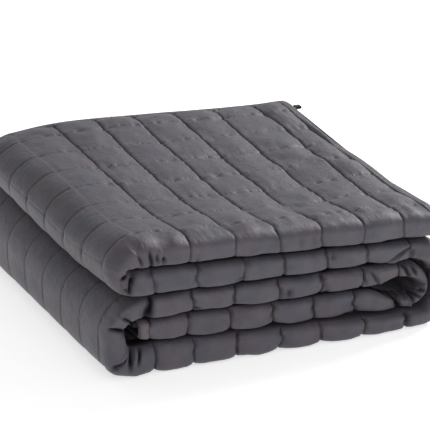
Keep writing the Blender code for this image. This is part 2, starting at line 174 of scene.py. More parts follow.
STITCHED_SEAMS = [seam for seam in range(-1, 41) if seam != BEND_SEAM]
ROW_FINE = 0.17  # every row line is kept this near to a row seam

# Where the seams run out of line along the path: the place, how far round it that reaches, and by how many
# cells. WANDER and ROW_WANDER are how far every seam and row wanders in cells, and their rates say how often
# that changes in a cell along the path and round the section.
Drift = namedtuple("Drift", "path around paths arounds cells")
DRIFTS = [
    Drift(0.0, 5.0, 0.45, 2.6, -0.18),
]
WANDER, ROW_WANDER = 0.030, 0.025
WANDER_RATES, ROW_WANDER_RATES = (0.9, 1.3), (1.3, 0.9)

# --- quilting ----------------------------------------------------------------------------------------------

# How the cloth lies on its two outer faces along the path: how deep the column seams and the row seams draw
# it in (mm), how sharp a line their stitches leave, darkened partly as thread and partly as painted shade in
# the groove, and how much it gathers and bulges between them.
Lie = namedtuple("Lie", "place column_seam row_seam column_line row_line gather")
PLY_A = [
    Lie(-1.0, 3.6, 1.4, 1.0, 0.5, 1.3),
    Lie(5.3, 3.8, 1.4, 1.0, 0.5, 1.3),
    Lie(5.8, 1.5, 0.8, 0.45, 0.6, 0.5),
    Lie(6.2, 1.2, 0.8, 0.45, 0.75, 0.4),
    Lie(6.5, 0.4, 0.8, 0.0, 0.9, 0.3),
    Lie(7.0, 1.1, 0.8, 0.25, 0.9, 0.25),
    Lie(8.0, 0.5, 0.8, 0.15, 0.7, 0.25),
    Lie(8.6, 0.0, 0.0, 0.0, 0.0, 0.0),
]
PLY_D = [
    Lie(13.5, 0.0, 0.0, 0.0, 0.0, 0.0),
    Lie(14.3, 2.2, 0.8, 0.8, 0.8, 0.6),
    Lie(16.7, 2.2, 0.8, 0.8, 0.8, 0.6),
    Lie(17.5, 0.8, 0.4, 0.5, 0.5, 0.2),
    Lie(22.5, 0.8, 0.4, 0.5, 0.5, 0.2),
    Lie(23.3, 0.5, 0.8, 0.2, 0.75, 0.25),
    Lie(25.7, 0.5, 0.8, 0.2, 0.75, 0.25),
    Lie(26.5, 0.0, 0.0, 0.0, 0.0, 0.0),
    Lie(31.7, 0.0, 0.0, 0.0, 0.0, 0.0),
    Lie(32.4, 1.6, 0.5, 0.8, 0.5, 0.5),
    Lie(33.6, 1.6, 0.5, 0.8, 0.5, 0.5),
    Lie(34.5, 0.0, 0.0, 0.0, 0.0, 0.0),
]
FRONT_FOLD = Lie(None, 4.2, 0.0, 0.3, 0.0, 1.1)
LEFT_OUT_OF_FOLD = (6, 7, 24, 25, 26, 33)  # seams that don't draw the front fold in

# Along the path: how dark the front fold's painted shade is where it meets its neighbours, on ply a's side
# and on ply d's, and how strongly its seams are drawn in and painted dark.
Front = namedtuple("Front", "place dark_a dark_d seams")
FRONTS = [
    Front(-1.0, 0.0, 0.7, 0.35),
    Front(5.9, 0.0, 0.9, 0.40),
    Front(6.6, 0.0, 0.9, 0.0),
    Front(7.9, 0.0, 0.9, 0.5),
    Front(8.3, 0.7, 0.8, 0.6),
    Front(13.6, 0.7, 0.8, 0.6),
    Front(14.3, 0.3, 0.0, 0.5),
    Front(16.7, 0.3, 0.0, 1.0),
    Front(17.3, 0.5, 0.4, 1.0),
    Front(22.7, 0.5, 0.4, 1.0),
    Front(23.3, 0.9, 0.0, 1.0),
    Front(25.8, 0.9, 0.0, 1.0),
    Front(26.3, 0.7, 0.7, 0.9),
    Front(31.8, 0.7, 0.7, 0.8),
    Front(32.4, 0.2, 0.0, 0.4),
    Front(33.7, 0.2, 0.0, 0.4),
    Front(34.3, 0.9, 0.9, 1.0),
    Front(40.1, 0.9, 0.9, 1.0),
]
PAINTED_SHADE_FROM, PAINTED_SHADE_TO = 0.92, 1.0  # how near a face of the panel the painted shade begins, as a share of half its height
INSIDE_TURN = (23.55, 25.35)  # ply a gets painted shade here, inside the lower left turn
INSIDE_TURN_PAINTED_SHADE, INSIDE_TURN_FADE = 0.75, 0.3
FOLD_JAG = 0.045  # how far the seams in it run from side to side, cells
JAG_FADE_IN, JAG_FADE_OUT = (0.05, 0.25), (0.80, 0.98)  # shares of the way round the fold
TUCK_FADE_IN, TUCK_FADE_OUT = (0.14, 0.26), (0.72, 0.88)
SEAM_UNEVENNESS = 0.25
JAG_RATE, SEAM_UNEVENNESS_RATE = 6.0, 5.0
# Painted shade along the front fold's seams: each tuck gets a dark painted line.
FOLD_SEAM_PAINTED_SHADE = 0.8
FOLD_SEAM_WIDTH = 0.028  # of the line of painted shade along a seam
FOLD_NOTCH_WIDTH = 0.030  # how much wider it gets at the fold's edges
FOLD_SEAM_TUCK = 1.8  # mm, sharper than the draw-in
FOLD_FADE_IN = (0.12, 0.38)  # how far round the fold the seams deepen, and where they fade out
FOLD_FADE_OUT = (0.60, 0.86)
BACK_FOLD = Lie(None, 2.2, 0.0, 1.0, 0.0, 0.6)
FOLD_STREAKS, FOLD_LUMPS = 0.6, 1.0  # mm
FOLD_STREAK_RATES, FOLD_LUMP_RATES = (13.0, 1.5), (2.7, 3.3)
COLUMN_POWER, ROW_POWER = 0.62, 0.9
STITCH_DEPTH, STITCH_WIDTH = 0.9, 0.024  # the narrow groove under the stitches: mm, cells
CROSSING_DEPTH, CROSSING_WIDTH = 1.3, 0.08
PILLOW = 0.7  # how far in the cloth lies all over, mm
PUCKER_REACH, PUCKER_RATE = 0.10, 9.0  # cells; changes in a cell
SEAM_PUCKERS, ROW_PUCKERS = 0.6, 1.1  # beside the seams, mm
LUMPS, SMALL_LUMPS = 0.75, 0.35  # of the filling, mm
LUMP_RATE, SMALL_LUMP_RATE = 2.3, 5.1
DEEPEST_CREASE, DEEPEST_SEAM = 0.7, 0.9  # as shares of the ply's thickness

# Creases, a row each: from one place on the cloth to another, half width at each end in cells, depth in mm (a
# ridge is negative), and how dark it is inside. Each stroke was chosen one by one. Most rows' numbers were
# then worked out from the strokes by a separate script, which placed them on the cloth and rounded them.
# The shade column is painted shade, which darkens the inside of each crease.
Crease = namedtuple("Crease", "path_a around_a path_b around_b width_a width_b depth shade")
CREASES = [
    # the corner under the top panel's left turn
    Crease(6.42, -0.34, 6.30, -0.49, 0.055, 0.055, -2.0, 0.0),
    Crease(6.30, -0.49, 6.14, -0.65, 0.070, 0.070, -1.2, 0.0),
    Crease(6.26, -0.48, 6.15, -0.60, 0.040, 0.050, 2.5, 0.65),
    Crease(5.92, -0.43, 5.83, -0.70, 0.035, 0.040, 3.0, 0.85),
    Crease(5.84, -0.50, 5.82, -0.60, 0.030, 0.025, -1.5, 0.0),
    Crease(5.76, -0.50, 5.72, -0.60, 0.030, 0.035, 2.5, 0.6),
    Crease(5.71, -0.47, 5.68, -0.60, 0.030, 0.025, -2.0, 0.0),
    Crease(5.60, -0.54, 5.59, -0.60, 0.030, 0.040, 3.0, 0.9),
    Crease(5.68, -0.43, 5.61, -0.51, 0.030, 0.025, -1.5, 0.0),
    Crease(6.89, -0.49, 6.95, -0.61, 0.035, 0.035, -2.0, 0.0),
    Crease(7.28, -0.48, 7.28, -0.62, 0.050, 0.055, 3.0, 0.95),
    Crease(7.29, -0.45, 7.32, -0.54, 0.030, 0.030, -1.5, 0.0),
    Crease(7.31, -0.53, 7.28, -0.64, 0.035, 0.035, -2.0, 0.0),
    Crease(7.50, -0.64, 7.54, -0.48, 0.075, 0.045, 4.5, 1.0),
    Crease(7.53, -0.48, 7.61, -0.31, 0.030, 0.025, 4.0, 1.0),
    Crease(7.39, -0.55, 7.46, -0.43, 0.030, 0.025, -2.0, 0.0),
    Crease(7.47, -0.40, 7.55, -0.36, 0.030, 0.025, 2.0, 0.8),
    Crease(7.33, -0.43, 7.53, -0.31, 0.030, 0.030, 2.0, 0.25),
    # the second panel's left end
    Crease(8.08, -0.67, 8.03, -0.48, 0.030, 0.025, 2.0, 0.25),
    # the end of the lower left turn
    Crease(25.29, -0.47, 25.45, -0.27, 0.035, 0.050, 3.0, 0.95),
    Crease(25.27, -0.66, 25.18, -0.50, 0.040, 0.040, -2.0, 0.0),
    Crease(25.16, -0.50, 25.24, -0.29, 0.040, 0.035, -2.0, 0.0),
    Crease(24.90, -0.69, 24.74, -0.29, 0.030, 0.055, 3.5, 1.0),
    Crease(23.75, -0.29, 23.57, -0.55, 0.060, 0.050, 4.0, 1.0),
    Crease(23.60, -0.26, 23.55, -0.41, 0.040, 0.040, -2.0, 0.0),
    Crease(23.53, -0.40, 23.57, -0.55, 0.040, 0.035, -2.0, 0.0),
    Crease(23.34, -0.30, 23.38, -0.49, 0.060, 0.035, 3.5, 1.0),
    Crease(23.06, -0.32, 23.12, -0.58, 0.030, 0.025, -1.5, 0.0),
    Crease(23.81, -0.42, 23.84, -0.50, 0.030, 0.035, 2.5, 0.8),
    Crease(23.85, -0.50, 24.09, -0.63, 0.035, 0.035, 2.5, 0.85),
    Crease(24.08, -0.64, 23.93, -0.60, 0.030, 0.025, 2.0, 0.7),
    Crease(26.04, -0.76, 26.00, -0.30, 0.050, 0.070, 3.5, 1.0),
    Crease(25.90, -0.56, 25.95, -0.35, 0.030, 0.025, -1.5, 0.0),
    # the right end of the second panel
    Crease(13.40, -0.32, 13.66, -0.45, 0.030, 0.040, 2.5, 0.45),
    Crease(13.66, -0.45, 14.00, -0.60, 0.040, 0.030, 2.5, 0.5),
    Crease(13.46, -0.28, 13.83, -0.46, 0.035, 0.035, -1.5, 0.0),
    Crease(14.07, -0.54, 14.06, -0.33, 0.030, 0.025, 2.0, 0.5),
    # the right end of the third
    Crease(30.97, -0.61, 31.08, -0.40, 0.030, 0.030, 2.0, 0.55),
    Crease(31.07, -0.67, 31.16, -0.45, 0.030, 0.025, -1.5, 0.0),
    Crease(31.20, -0.64, 31.41, -0.34, 0.030, 0.030, 2.5, 0.5),
    Crease(31.38, -0.55, 31.48, -0.33, 0.030, 0.025, -1.0, 0.0),
    Crease(32.10, -0.68, 32.28, -0.33, 0.060, 0.035, 3.0, 0.9),
    Crease(32.32, -0.63, 32.48, -0.45, 0.065, 0.040, 2.5, 0.8),
    Crease(32.30, -0.30, 32.35, -0.44, 0.040, 0.035, -1.5, 0.0),
    Crease(15.04, -0.16, 15.45, -0.09, 0.055, 0.040, 2.0, 0.6),
    # inside its turn
    Crease(33.65, 0.15, 33.69, -0.66, 0.035, 0.040, -4.0, 0.0),
    Crease(33.54, 0.15, 33.62, -0.57, 0.050, 0.050, 5.0, 0.7),
    Crease(33.42, 0.10, 33.18, -0.52, 0.035, 0.035, -2.5, 0.0),
    Crease(33.06, 0.05, 32.94, -0.50, 0.035, 0.035, -2.0, 0.0),
    Crease(33.29, 0.01, 33.14, -0.43, 0.035, 0.040, 3.5, 0.6),
    Crease(33.51, -0.06, 33.37, -0.54, 0.035, 0.050, 4.0, 0.65),
    # the right end of the fourth
    Crease(34.38, -0.20, 34.18, -0.30, 0.030, 0.035, 2.0, 0.75),
    Crease(34.13, -0.17, 33.94, -0.68, 0.050, 0.080, 3.5, 1.0),
    Crease(34.08, 0.01, 34.06, -0.30, 0.035, 0.035, -1.5, 0.0),
    Crease(33.87, 0.11, 33.95, -0.61, 0.045, 0.050, -2.0, 0.0),
    # the bottom panel's right end
    Crease(17.00, -0.19, 16.99, -0.60, 0.045, 0.045, 3.0, 0.7),
    Crease(17.15, -0.25, 17.14, -0.58, 0.035, 0.035, -2.0, 0.0),
    # tucks along the front
    Crease(9.86, -0.37, 10.02, -0.39, 0.030, 0.025, 2.0, 0.5),
    Crease(10.09, -0.69, 10.06, -0.53, 0.035, 0.025, 2.0, 0.55),
    Crease(10.02, -0.73, 10.01, -0.56, 0.030, 0.025, -1.0, 0.0),
    Crease(30.06, -0.84, 30.15, -0.82, 0.040, 0.045, 2.5, 0.9),
    Crease(12.14, -0.65, 12.10, -0.54, 0.035, 0.025, 2.0, 0.5),
    Crease(27.05, -0.38, 27.19, -0.29, 0.030, 0.025, 2.5, 0.9),
    Crease(28.17, -0.51, 28.30, -0.30, 0.030, 0.025, -1.5, 0.0),
    Crease(29.09, -0.48, 29.16, -0.28, 0.030, 0.025, -1.5, 0.0),
    Crease(29.20, -0.50, 29.28, -0.30, 0.030, 0.035, 2.0, 0.65),
    Crease(29.97, -0.71, 30.05, -0.57, 0.030, 0.025, 2.0, 0.75),
    Crease(30.04, -0.56, 30.12, -0.23, 0.030, 0.030, 2.0, 0.6),
    Crease(29.59, -0.64, 29.76, -0.49, 0.030, 0.030, -1.0, 0.0),
    Crease(2.52, -0.48, 2.51, -0.60, 0.050, 0.050, 1.5, 0.25),
    Crease(2.21, -0.46, 2.19, -0.60, 0.055, 0.055, 1.5, 0.2),
    Crease(4.86, -0.59, 4.84, -0.67, 0.030, 0.025, 1.5, 0.4),
    Crease(4.92, -0.59, 4.90, -0.68, 0.030, 0.025, -1.0, 0.0),
    Crease(4.82, -0.56, 4.80, -0.66, 0.030, 0.025, -1.0, 0.0),
]
CREASE_TAPER = 0.35  # how much shallower a crease is at its ends
CREASE_SHARPNESS = 1.5
PAINTED_SHADE_WIDTH = 1.2  # how wide the painted shade inside a crease is beside its half width


def mix(a, b, share):
    return a + (b - a) * share


def straight(table, x):
    """Values at x of a table of (x, value) rows, on straight lines between the rows."""
    xs, ys = np.array(table, float).T
    return np.interp(x, xs, ys)


def curve(table, x):
    """Values at x on a smooth curve through a table of (x, value) rows."""
    xs, ys = np.array(table, float).T
    slopes = np.gradient(ys, xs)
    x = np.asarray(x, float)
    i = np.clip(np.searchsorted(xs, x) - 1, 0, len(xs) - 2)
    width = xs[i + 1] - xs[i]
    t = np.clip((x - xs[i]) / width, 0.0, 1.0)
    between = (1 + 2 * t) * (1 - t) ** 2 * ys[i] + t * t * (3 - 2 * t) * ys[i + 1]
    return between + width * t * (1 - t) * ((1 - t) * slopes[i] - t * slopes[i + 1])


def rise(x, low, high):
    """A smooth step from 0 at low to 1 at high."""
    share = np.clip((x - low) / (high - low), 0.0, 1.0)
    return share * share * (3 - 2 * share)


def unevenness(seed, x, y, size=192):
    """Smooth noise from -1 to 1 that changes about once a unit of x and y."""
    lattice = np.random.default_rng(seed).uniform(-1.0, 1.0, (size, size))
    x0, y0 = np.floor(x), np.floor(y)
    tx, ty = x - x0, y - y0
    tx, ty = tx * tx * (3 - 2 * tx), ty * ty * (3 - 2 * ty)
    i, j = x0.astype(int) % size, y0.astype(int) % size
    i1, j1 = (i + 1) % size, (j + 1) % size
    near = mix(lattice[i, j], lattice[i1, j], tx)
    far = mix(lattice[i, j1], lattice[i1, j1], tx)
    return mix(near, far, ty)


def level_height(index, column, row):
    """The height between two panels in mm; the top's own swells count on the last level alone."""
    share = (column - FIRST_COLUMN) / (LAST_COLUMN - FIRST_COLUMN)
    height = mix(LEVELS[index].left, LEVELS[index].right, share)
    height = height + curve(SAG, row) * index / (len(LEVELS) - 1)
    if index == len(LEVELS) - 1:
        for bulge in SWELLS:
            away = ((column - bulge.column) / bulge.columns) ** 2 + ((row - bulge.row) / bulge.rows) ** 2
            height = height + bulge.height * np.exp(-away)
    return height


def parting(index, column):
    """How far the panels above and below a level lie from it, in mm."""
    above = below = PANEL_GAP / 2 if index else 0.0
    for part in PARTINGS:
        if part.level == index:
            share = rise(column, part.closed_at, part.open_at)
            above, below = above + part.rise * share, below + part.fall * share
    return above, below


def panel_height(name, column, row, side):
    """The height in mm inside a panel: side 1 is ply a's face, and side 0 ply d's."""
    panel = PANELS[name]
    bottom = level_height(panel.level, column, row) + parting(panel.level, column)[0]
    top = level_height(panel.level + 1, column, row) - parting(panel.level + 1, column)[1]
    return mix(bottom, top, side if panel.face_up else 1.0 - side)


def superellipse(angle, roundness):
    """How far across and up a rounded bend reaches at an angle: 2 is a circle, and more is squarer."""
    across = np.maximum(np.cos(angle), 0.0) ** (2.0 / roundness)
    up = np.sign(angle) * np.abs(np.sin(angle)) ** (2.0 / roundness)
    return across, up


def turn_place(turn, angle, column, row, side):
    """Column and height in mm at an angle of a turn that starts at a column of its panels."""
    share = side if OUTER_FACE[turn.panels] else 1.0 - side
    first, second = turn.panels
    upper_first = PANELS[first].level > PANELS[second].level
    upper_half = (angle > 0.0) == upper_first
    roundness = mix(turn.round_in, np.where(upper_half, turn.round_top, turn.round_bottom), share)
    across, up = superellipse(angle, roundness)
    column = column + turn.side * mix(turn.reach_in, turn.reach_out, share) * across
    upper = panel_height(first, column, row, side)
    return column, mix(panel_height(second, column, row, side), upper, (up + 1.0) / 2.0)


def turn_stop(turn, place):
    """Angle and column at a place in a turn, by the length along its outside."""
    quarter = math.pi / 2
    angles = np.concatenate([[quarter], np.linspace(quarter, -quarter, ROUTE_STEPS + 1), [-quarter]])
    columns = np.full(len(angles), turn.middle)
    columns[0], columns[-1] = turn.column_from, turn.column_to
    x, height = turn_place(turn, angles, columns, ROUTE_ROW, float(OUTER_FACE[turn.panels]))
    steps = np.hypot(np.diff(x * CELL), np.diff(height * MM))
    lengths = np.concatenate([[0.0], np.cumsum(steps)])
    share = (place - turn.seam_from) / (turn.seam_to - turn.seam_from)
    share = share - turn.lead * share * (1.0 - share)
    wanted = share * lengths[-1]
    return np.interp(wanted, lengths, angles), np.interp(wanted, lengths, columns)


def span_masks(place):
    """Each span of the path, with the places that lie in it."""
    for n, span in enumerate(PATH):
        low = -np.inf if n == 0 else span.seam_from
        high = np.inf if n == len(PATH) - 1 else span.seam_to
        yield span, (place >= low) & ((place < high) if high != np.inf else True)


def nose(place):
    """How far a place has gone round the hidden end's corner: 0 before it, and 1 at the end."""
    share = np.clip((place - LAST_PLACE + NOSE_LENGTH) / NOSE_LENGTH, 0.0, 1.0)
    return 1.0 - np.sqrt(1.0 - share * share)


def run_column(run, place):
    """The column over which a place of a run lies."""
    inside = range(math.floor(run.seam_from) + 1, math.ceil(run.seam_to))
    return np.interp(place, [run.seam_from, *inside, run.seam_to], run.columns)


def put(place, row, side):
    """Positions in metres of places in the stack: along the path, row, and side of the panel."""
    place, row, side = np.broadcast_arrays(place, row, side)
    column, height = np.zeros(place.shape), np.zeros(place.shape)
    for span, here in span_masks(place):
        if not here.any():
            continue
        p, r, s = place[here], row[here], side[here]
        if isinstance(span, Run):
            col = run_column(span, p)
            s = 0.5 + (s - 0.5) * (1.0 - NOSE_THINNING * nose(p))
            height[here] = panel_height(span.panel, col, r, s)
            column[here] = col + END_SLANT * (r - SLANT_ROW) * np.clip(p / FIRST_PLACE, 0.0, None)
        else:
            angle, col = turn_stop(span, p)
            column[here], height[here] = turn_place(span, angle, col, r, s)
    x = (column - STACK_MIDDLE[0]) * CELL
    y = (row - STACK_MIDDLE[1]) * CELL
    return np.stack([x, y, height * MM], axis=-1)


def fold_line(place):
    """Row and reach of the front fold along the path, and how round it is on ply a's and on ply d's side."""
    found = np.zeros((4, len(place)))

    def of_panel(name, column):
        panel = PANELS[name]
        across = (column - FIRST_COLUMN) / (LAST_COLUMN - FIRST_COLUMN)
        row = mix(panel.fold_left, panel.fold_right, across)
        rounds = (panel.round_top, panel.round_bottom)[:: 1 if panel.face_up else -1]
        return np.stack([row] + [np.full_like(row, value) for value in (panel.fold_reach, *rounds)])

    for span, here in span_masks(place):
        p = place[here]
        if isinstance(span, Run):
            found[:, here] = of_panel(span.panel, run_column(span, p))
            found[0, here] += NOSE_RECESS * nose(p)
        else:
            share = (p - span.seam_from) / (span.seam_to - span.seam_from)
            first = of_panel(span.panels[0], np.full(len(p), span.column_from))
            second = of_panel(span.panels[1], np.full(len(p), span.column_to))
            middle = mix(first, second, 0.5)
            middle[2:] = np.array([[span.fold_round_a], [span.fold_round_d]])
            before, after = mix(first, middle, 2 * share), mix(middle, second, 2 * share - 1)
            found[:, here] = np.where(share < 0.5, before, after)
    return found


# --- the grid ----------------------------------------------------------------------------------------------


def lines_between(first, last, per_cell, extra=()):
    """Grid lines from first to last: even steps, and closer beside each seam."""
    lines = {round(first, 6), round(last, 6)}
    for n in range(math.floor(first * per_cell), math.ceil(last * per_cell) + 1):
        lines.add(round(n / per_cell, 6))
    for seam in range(math.floor(first), math.ceil(last) + 1):
        for near in NEAR_SEAM:
            lines |= {round(seam - near, 6), round(seam + near, 6)}
    lines |= {round(line, 6) for line in extra}
    kept = [line for line in sorted(lines) if first - LINE_SLACK <= line <= last + LINE_SLACK]
    seams = {float(seam) for seam in range(math.ceil(last) + 1)}
    wanted = {round(first, 6), round(last, 6)} | {round(line, 6) for line in extra} | seams
    close = [b for a, b in zip(kept, kept[1:]) if b - a < SAME_LINE]
    return np.array([line for line in kept if line not in close or line in wanted])


def creased_lines():
    """Extra grid lines along the path where creases lie."""
    step = 1.0 / LINES_PER_CELL
    for first, last in CREASED_SPANS:
        for n in range(math.ceil(first / step), math.floor(last / step)):
            for part in range(1, CREASED_LINES):
                yield (n + part / CREASED_LINES) * step


def hem_lines(edge, line):
    """Extra grid lines that round a hem's edge and mark its stitched line."""
    inward = 1.0 if line > edge else -1.0
    rounding = [edge + inward * d for d in HEM_EDGE_LINES]
    return rounding + [line - BESIDE_HEM_LINE * inward, line, line + BESIDE_HEM_LINE * inward]


Stations = namedtuple("Stations", "zone around local")
ZONES = {"a": 0, "fold": 1, "d": 2, "back": 3, "c": 4, "nested": 5, "b": 6}
HIDDEN_PLY_ROWS = (1.5, 3.5, 5.5, 6.3)


def make_stations():
    """The section's stations: their zone, how far round the cloth they are, and their place in the zone."""
    zone, around, local = [], [], []

    def add(name, arounds, locals_):
        zone.extend([ZONES[name]] * len(arounds))
        around.extend(arounds)
        local.extend(locals_)

    hem = hem_lines(BACK_ROWS["hem_a"], HEM_LINE_BACK)
    a = lines_between(0.0, BACK_ROWS["hem_a"], LINES_PER_CELL, hem)[::-1]
    add("a", a, a)
    turn = np.arange(1, FOLD_LINES) / FOLD_LINES
    add("fold", -turn, turn)
    d = lines_between(0.0, BACK_ROWS["fold"], LINES_PER_CELL)
    add("d", -1.0 - d, d)
    back = -1.0 - BACK_ROWS["fold"]
    turn = np.arange(1, BACK_FOLD_LINES) / BACK_FOLD_LINES
    add("back", back - turn, turn)
    c = np.array([BACK_ROWS["fold"], *HIDDEN_PLY_ROWS[::-1], 0.0])
    add("c", back - 1.0 - BACK_ROWS["fold"] + c, c)
    nested = back - 1.0 - BACK_ROWS["fold"]
    turn = np.arange(1, NESTED_FOLD_LINES) / NESTED_FOLD_LINES
    add("nested", nested - turn, turn)
    b_hem = BACK_ROWS["hem_b"]
    b_edge = [b_hem - HEM_WIDTH, b_hem - HEM_EDGE, b_hem - HEM_EDGE_LINES[2], b_hem]
    b = np.array([0.0, *HIDDEN_PLY_ROWS, *b_edge])
    add("b", nested - 1.0 - b, b)
    return Stations(np.array(zone), np.array(around), np.array(local))


def fold_profile(turns, round_a, round_d):
    """Across, from 0 to 1, and up, from 1 to -1, at even steps round each front fold, from ply a to ply d."""
    angles = np.linspace(math.pi / 2, -math.pi / 2, FOLD_ANGLES)
    across, up = np.zeros((2, len(round_a), len(turns)))
    for n, (a, d) in enumerate(zip(round_a, round_d)):
        out, height = superellipse(angles, np.where(angles > 0.0, a, d))
        steps = np.hypot(np.diff(out), FOLD_HALF_HEIGHT * np.diff(height))
        lengths = np.concatenate([[0.0], np.cumsum(steps)])
        wanted = turns * lengths[-1]
        across[n], up[n] = np.interp(wanted, lengths, out), np.interp(wanted, lengths, height)
    return across, up


def section(stations, fold_row, reach, round_a, round_d):
    """Row and side of every station's outer and inner face, for each place along the path."""
    shape = (len(fold_row), len(stations.zone))
    rows, sides = np.zeros((2, *shape)), np.zeros((2, *shape))
    fold_row, reach = fold_row[:, None], reach[:, None]

    def ply_rows(local):
        return np.where(local >= 1.0, local, mix(fold_row, 1.0, local))

    def fill(name, outer_row, outer_side, inner_row, inner_side):
        here = stations.zone == ZONES[name]
        rows[0][:, here], sides[0][:, here] = outer_row, outer_side
        rows[1][:, here], sides[1][:, here] = inner_row, inner_side

    def of(name):
        return stations.local[stations.zone == ZONES[name]][None, :]

    fill("a", ply_rows(of("a")), 1.0, ply_rows(of("a")), 3 * PLY + PLY_GAP)
    fill("d", ply_rows(of("d")), 0.0, ply_rows(of("d")), PLY - PLY_GAP)
    across, up = fold_profile(of("fold")[0], round_a, round_d)
    fill(
        "fold",
        fold_row - reach * across,
        0.5 + 0.5 * up,
        fold_row - (reach - PLY_THICKNESS) * across,
        0.5 + (PLY + PLY_GAP) * up,
    )
    angle = math.pi * (of("back") - 0.5)
    half = PLY - PLY_GAP / 2
    fill(
        "back",
        BACK_ROWS["fold"] + BACK_FOLD_REACH * np.cos(angle),
        half + half * np.sin(angle),
        BACK_ROWS["fold"] + PLY_GAP * np.cos(angle),
        half + PLY_GAP * np.sin(angle),
    )
    fill("c", ply_rows(of("c")), 0.5 - PLY_GAP, ply_rows(of("c")), PLY + PLY_GAP)
    angle = -math.pi * (of("nested") - 0.5)
    nested = reach - PLY_THICKNESS - CREASE_ROOM
    fill(
        "nested",
        fold_row - (nested - PLY_THICKNESS) * np.cos(angle),
        0.5 - PLY_GAP * np.sin(angle),
        fold_row - nested * np.cos(angle),
        0.5 + (PLY_GAP - PLY) * np.sin(angle),
    )
    fill("b", ply_rows(of("b")), 0.5 + PLY_GAP, ply_rows(of("b")), 3 * PLY - PLY_GAP)
    return rows, sides


# --- relief ------------------------------------------------------------------------------------------------


def quilt_place(place):
    """The path place with the hems' stitched lines on whole numbers, as the seams are."""
    first = place / -HEM_LINE_FIRST
    last_seam = math.floor(HEM_LINE_LAST)
    last = last_seam + (place - last_seam) / (HEM_LINE_LAST - last_seam)
    return np.where(place < 0.0, first, np.where(place > last_seam, last, place))


def quilt_around(around):
    """The place round the section with the back hem's stitched line on a whole number."""
    last_seam = math.floor(HEM_LINE_BACK)
    beyond = last_seam + (around - last_seam) / (HEM_LINE_BACK - last_seam)
    return np.where(around > last_seam, beyond, around)


def swell(place, power):
    """1 on a seam and 0 in the middle of a cell."""
    return 1.0 - np.sin(math.pi * np.abs(place - np.round(place))) ** power


def creases(path, around):
    """How deep the creases and the front fold's seams are in mm, and how dark their painted shade is."""
    depth, shade = np.zeros((2, *np.broadcast(path, around).shape))
    for crease in CREASES:
        along = np.array([crease.path_b - crease.path_a, crease.around_b - crease.around_a])
        p, w = path - crease.path_a, around - crease.around_a
        t = np.clip((p * along[0] + w * along[1]) / along.dot(along), 0.0, 1.0)
        distance = np.hypot(p - t * along[0], w - t * along[1]) / mix(crease.width_a, crease.width_b, t)
        taper = 1.0 - CREASE_TAPER * np.abs(2 * t - 1) ** 3
        depth += crease.depth * taper * np.exp(-(distance**CREASE_SHARPNESS))
        shade = np.maximum(shade, crease.shade * taper * np.exp(-((distance / PAINTED_SHADE_WIDTH) ** 2)))
    tuck, dark = fold_seams(path, around)
    return depth + tuck, np.maximum(shade, dark)


def jag(path, around):
    """How far the seams run aside in the front fold, cells."""
    inside = rise(-around, *JAG_FADE_IN) - rise(-around, *JAG_FADE_OUT)
    return FOLD_JAG * inside * unevenness(31, around * JAG_RATE, np.round(path) * 2.9)


def fold_seams(path, around):
    """How sharply the column seams tuck in across the front fold in mm, and how dark the painted shade in
    them is.
    """
    seam_place = quilt_place(path)
    across = np.abs(seam_place - np.round(seam_place) - jag(path, around))
    t = (-around).clip(0.0, 1.0)
    inside = rise(t, *TUCK_FADE_IN) - rise(t, *TUCK_FADE_OUT)
    edge = np.abs(2 * t - 1.0) ** 2
    noise = unevenness(32, around * SEAM_UNEVENNESS_RATE, np.round(path) * 3.3)
    uneven = 1.0 - SEAM_UNEVENNESS + SEAM_UNEVENNESS * noise
    width = (FOLD_SEAM_WIDTH + FOLD_NOTCH_WIDTH * edge) * uneven
    seam = np.exp(-((across / width) ** 2)) * inside
    seam = np.where(np.isin(np.round(path), LEFT_OUT_OF_FOLD), 0.0, seam)
    strength = front(path, "seams")
    return FOLD_SEAM_TUCK * strength * seam, FOLD_SEAM_PAINTED_SHADE * strength**0.5 * uneven * seam


def front(path, value):
    """A value of the front fold's table along the path."""
    return straight([(row.place, getattr(row, value)) for row in FRONTS], path)


def painted_crevice_shade(path, side, stations):
    """How dark the painted shade is where the panels meet along the front, and inside the lower left turn."""
    in_fold = stations.zone[None, :] == ZONES["fold"]
    by_a = front(path, "dark_a") * rise(2 * side - 1, PAINTED_SHADE_FROM, PAINTED_SHADE_TO)
    by_d = front(path, "dark_d") * rise(1 - 2 * side, PAINTED_SHADE_FROM, PAINTED_SHADE_TO)
    first, last = INSIDE_TURN
    begun, ended = rise(path, first - INSIDE_TURN_FADE, first), rise(path, last, last + INSIDE_TURN_FADE)
    inside = INSIDE_TURN_PAINTED_SHADE * begun * (1.0 - ended)
    on_a = stations.zone[None, :] == ZONES["a"]
    return np.where(in_fold, np.maximum(by_a, by_d), np.where(on_a, inside, 0.0))


def drift(path, around):
    """How far the seams run out of line along the path, cells."""
    cells = np.zeros(path.shape)
    for row in DRIFTS:
        away = ((path - row.path) / row.paths) ** 2 + ((around - row.around) / row.arounds) ** 2
        cells += row.cells * np.exp(-away)
    return cells


def lie_of_cloth(path, stations):
    """The lie of the outer face at every point of the grid, in the order of Lie's values."""
    zone, local = stations.zone[None, :], stations.local[None, :]
    on_a = stations.around[None, :] > FOLD_MIDDLE
    within = rise(local, *FOLD_FADE_IN) - rise(local, *FOLD_FADE_OUT)
    in_fold = np.where(zone == ZONES["fold"], within, 0.0)
    values = []
    for name in Lie._fields[1:]:
        on_plies = []
        for table in (PLY_A, PLY_D):
            on_plies.append(straight([(lie.place, getattr(lie, name)) for lie in table], path))
        fold = getattr(FRONT_FOLD, name)
        if name == "column_seam":
            fold = fold * front(path, "seams")
        value = mix(np.where(on_a, *on_plies), fold, in_fold)
        value = np.where(zone == ZONES["back"], getattr(BACK_FOLD, name), value)
        values.append(np.where(zone <= ZONES["back"], value, 0.0))
    return values


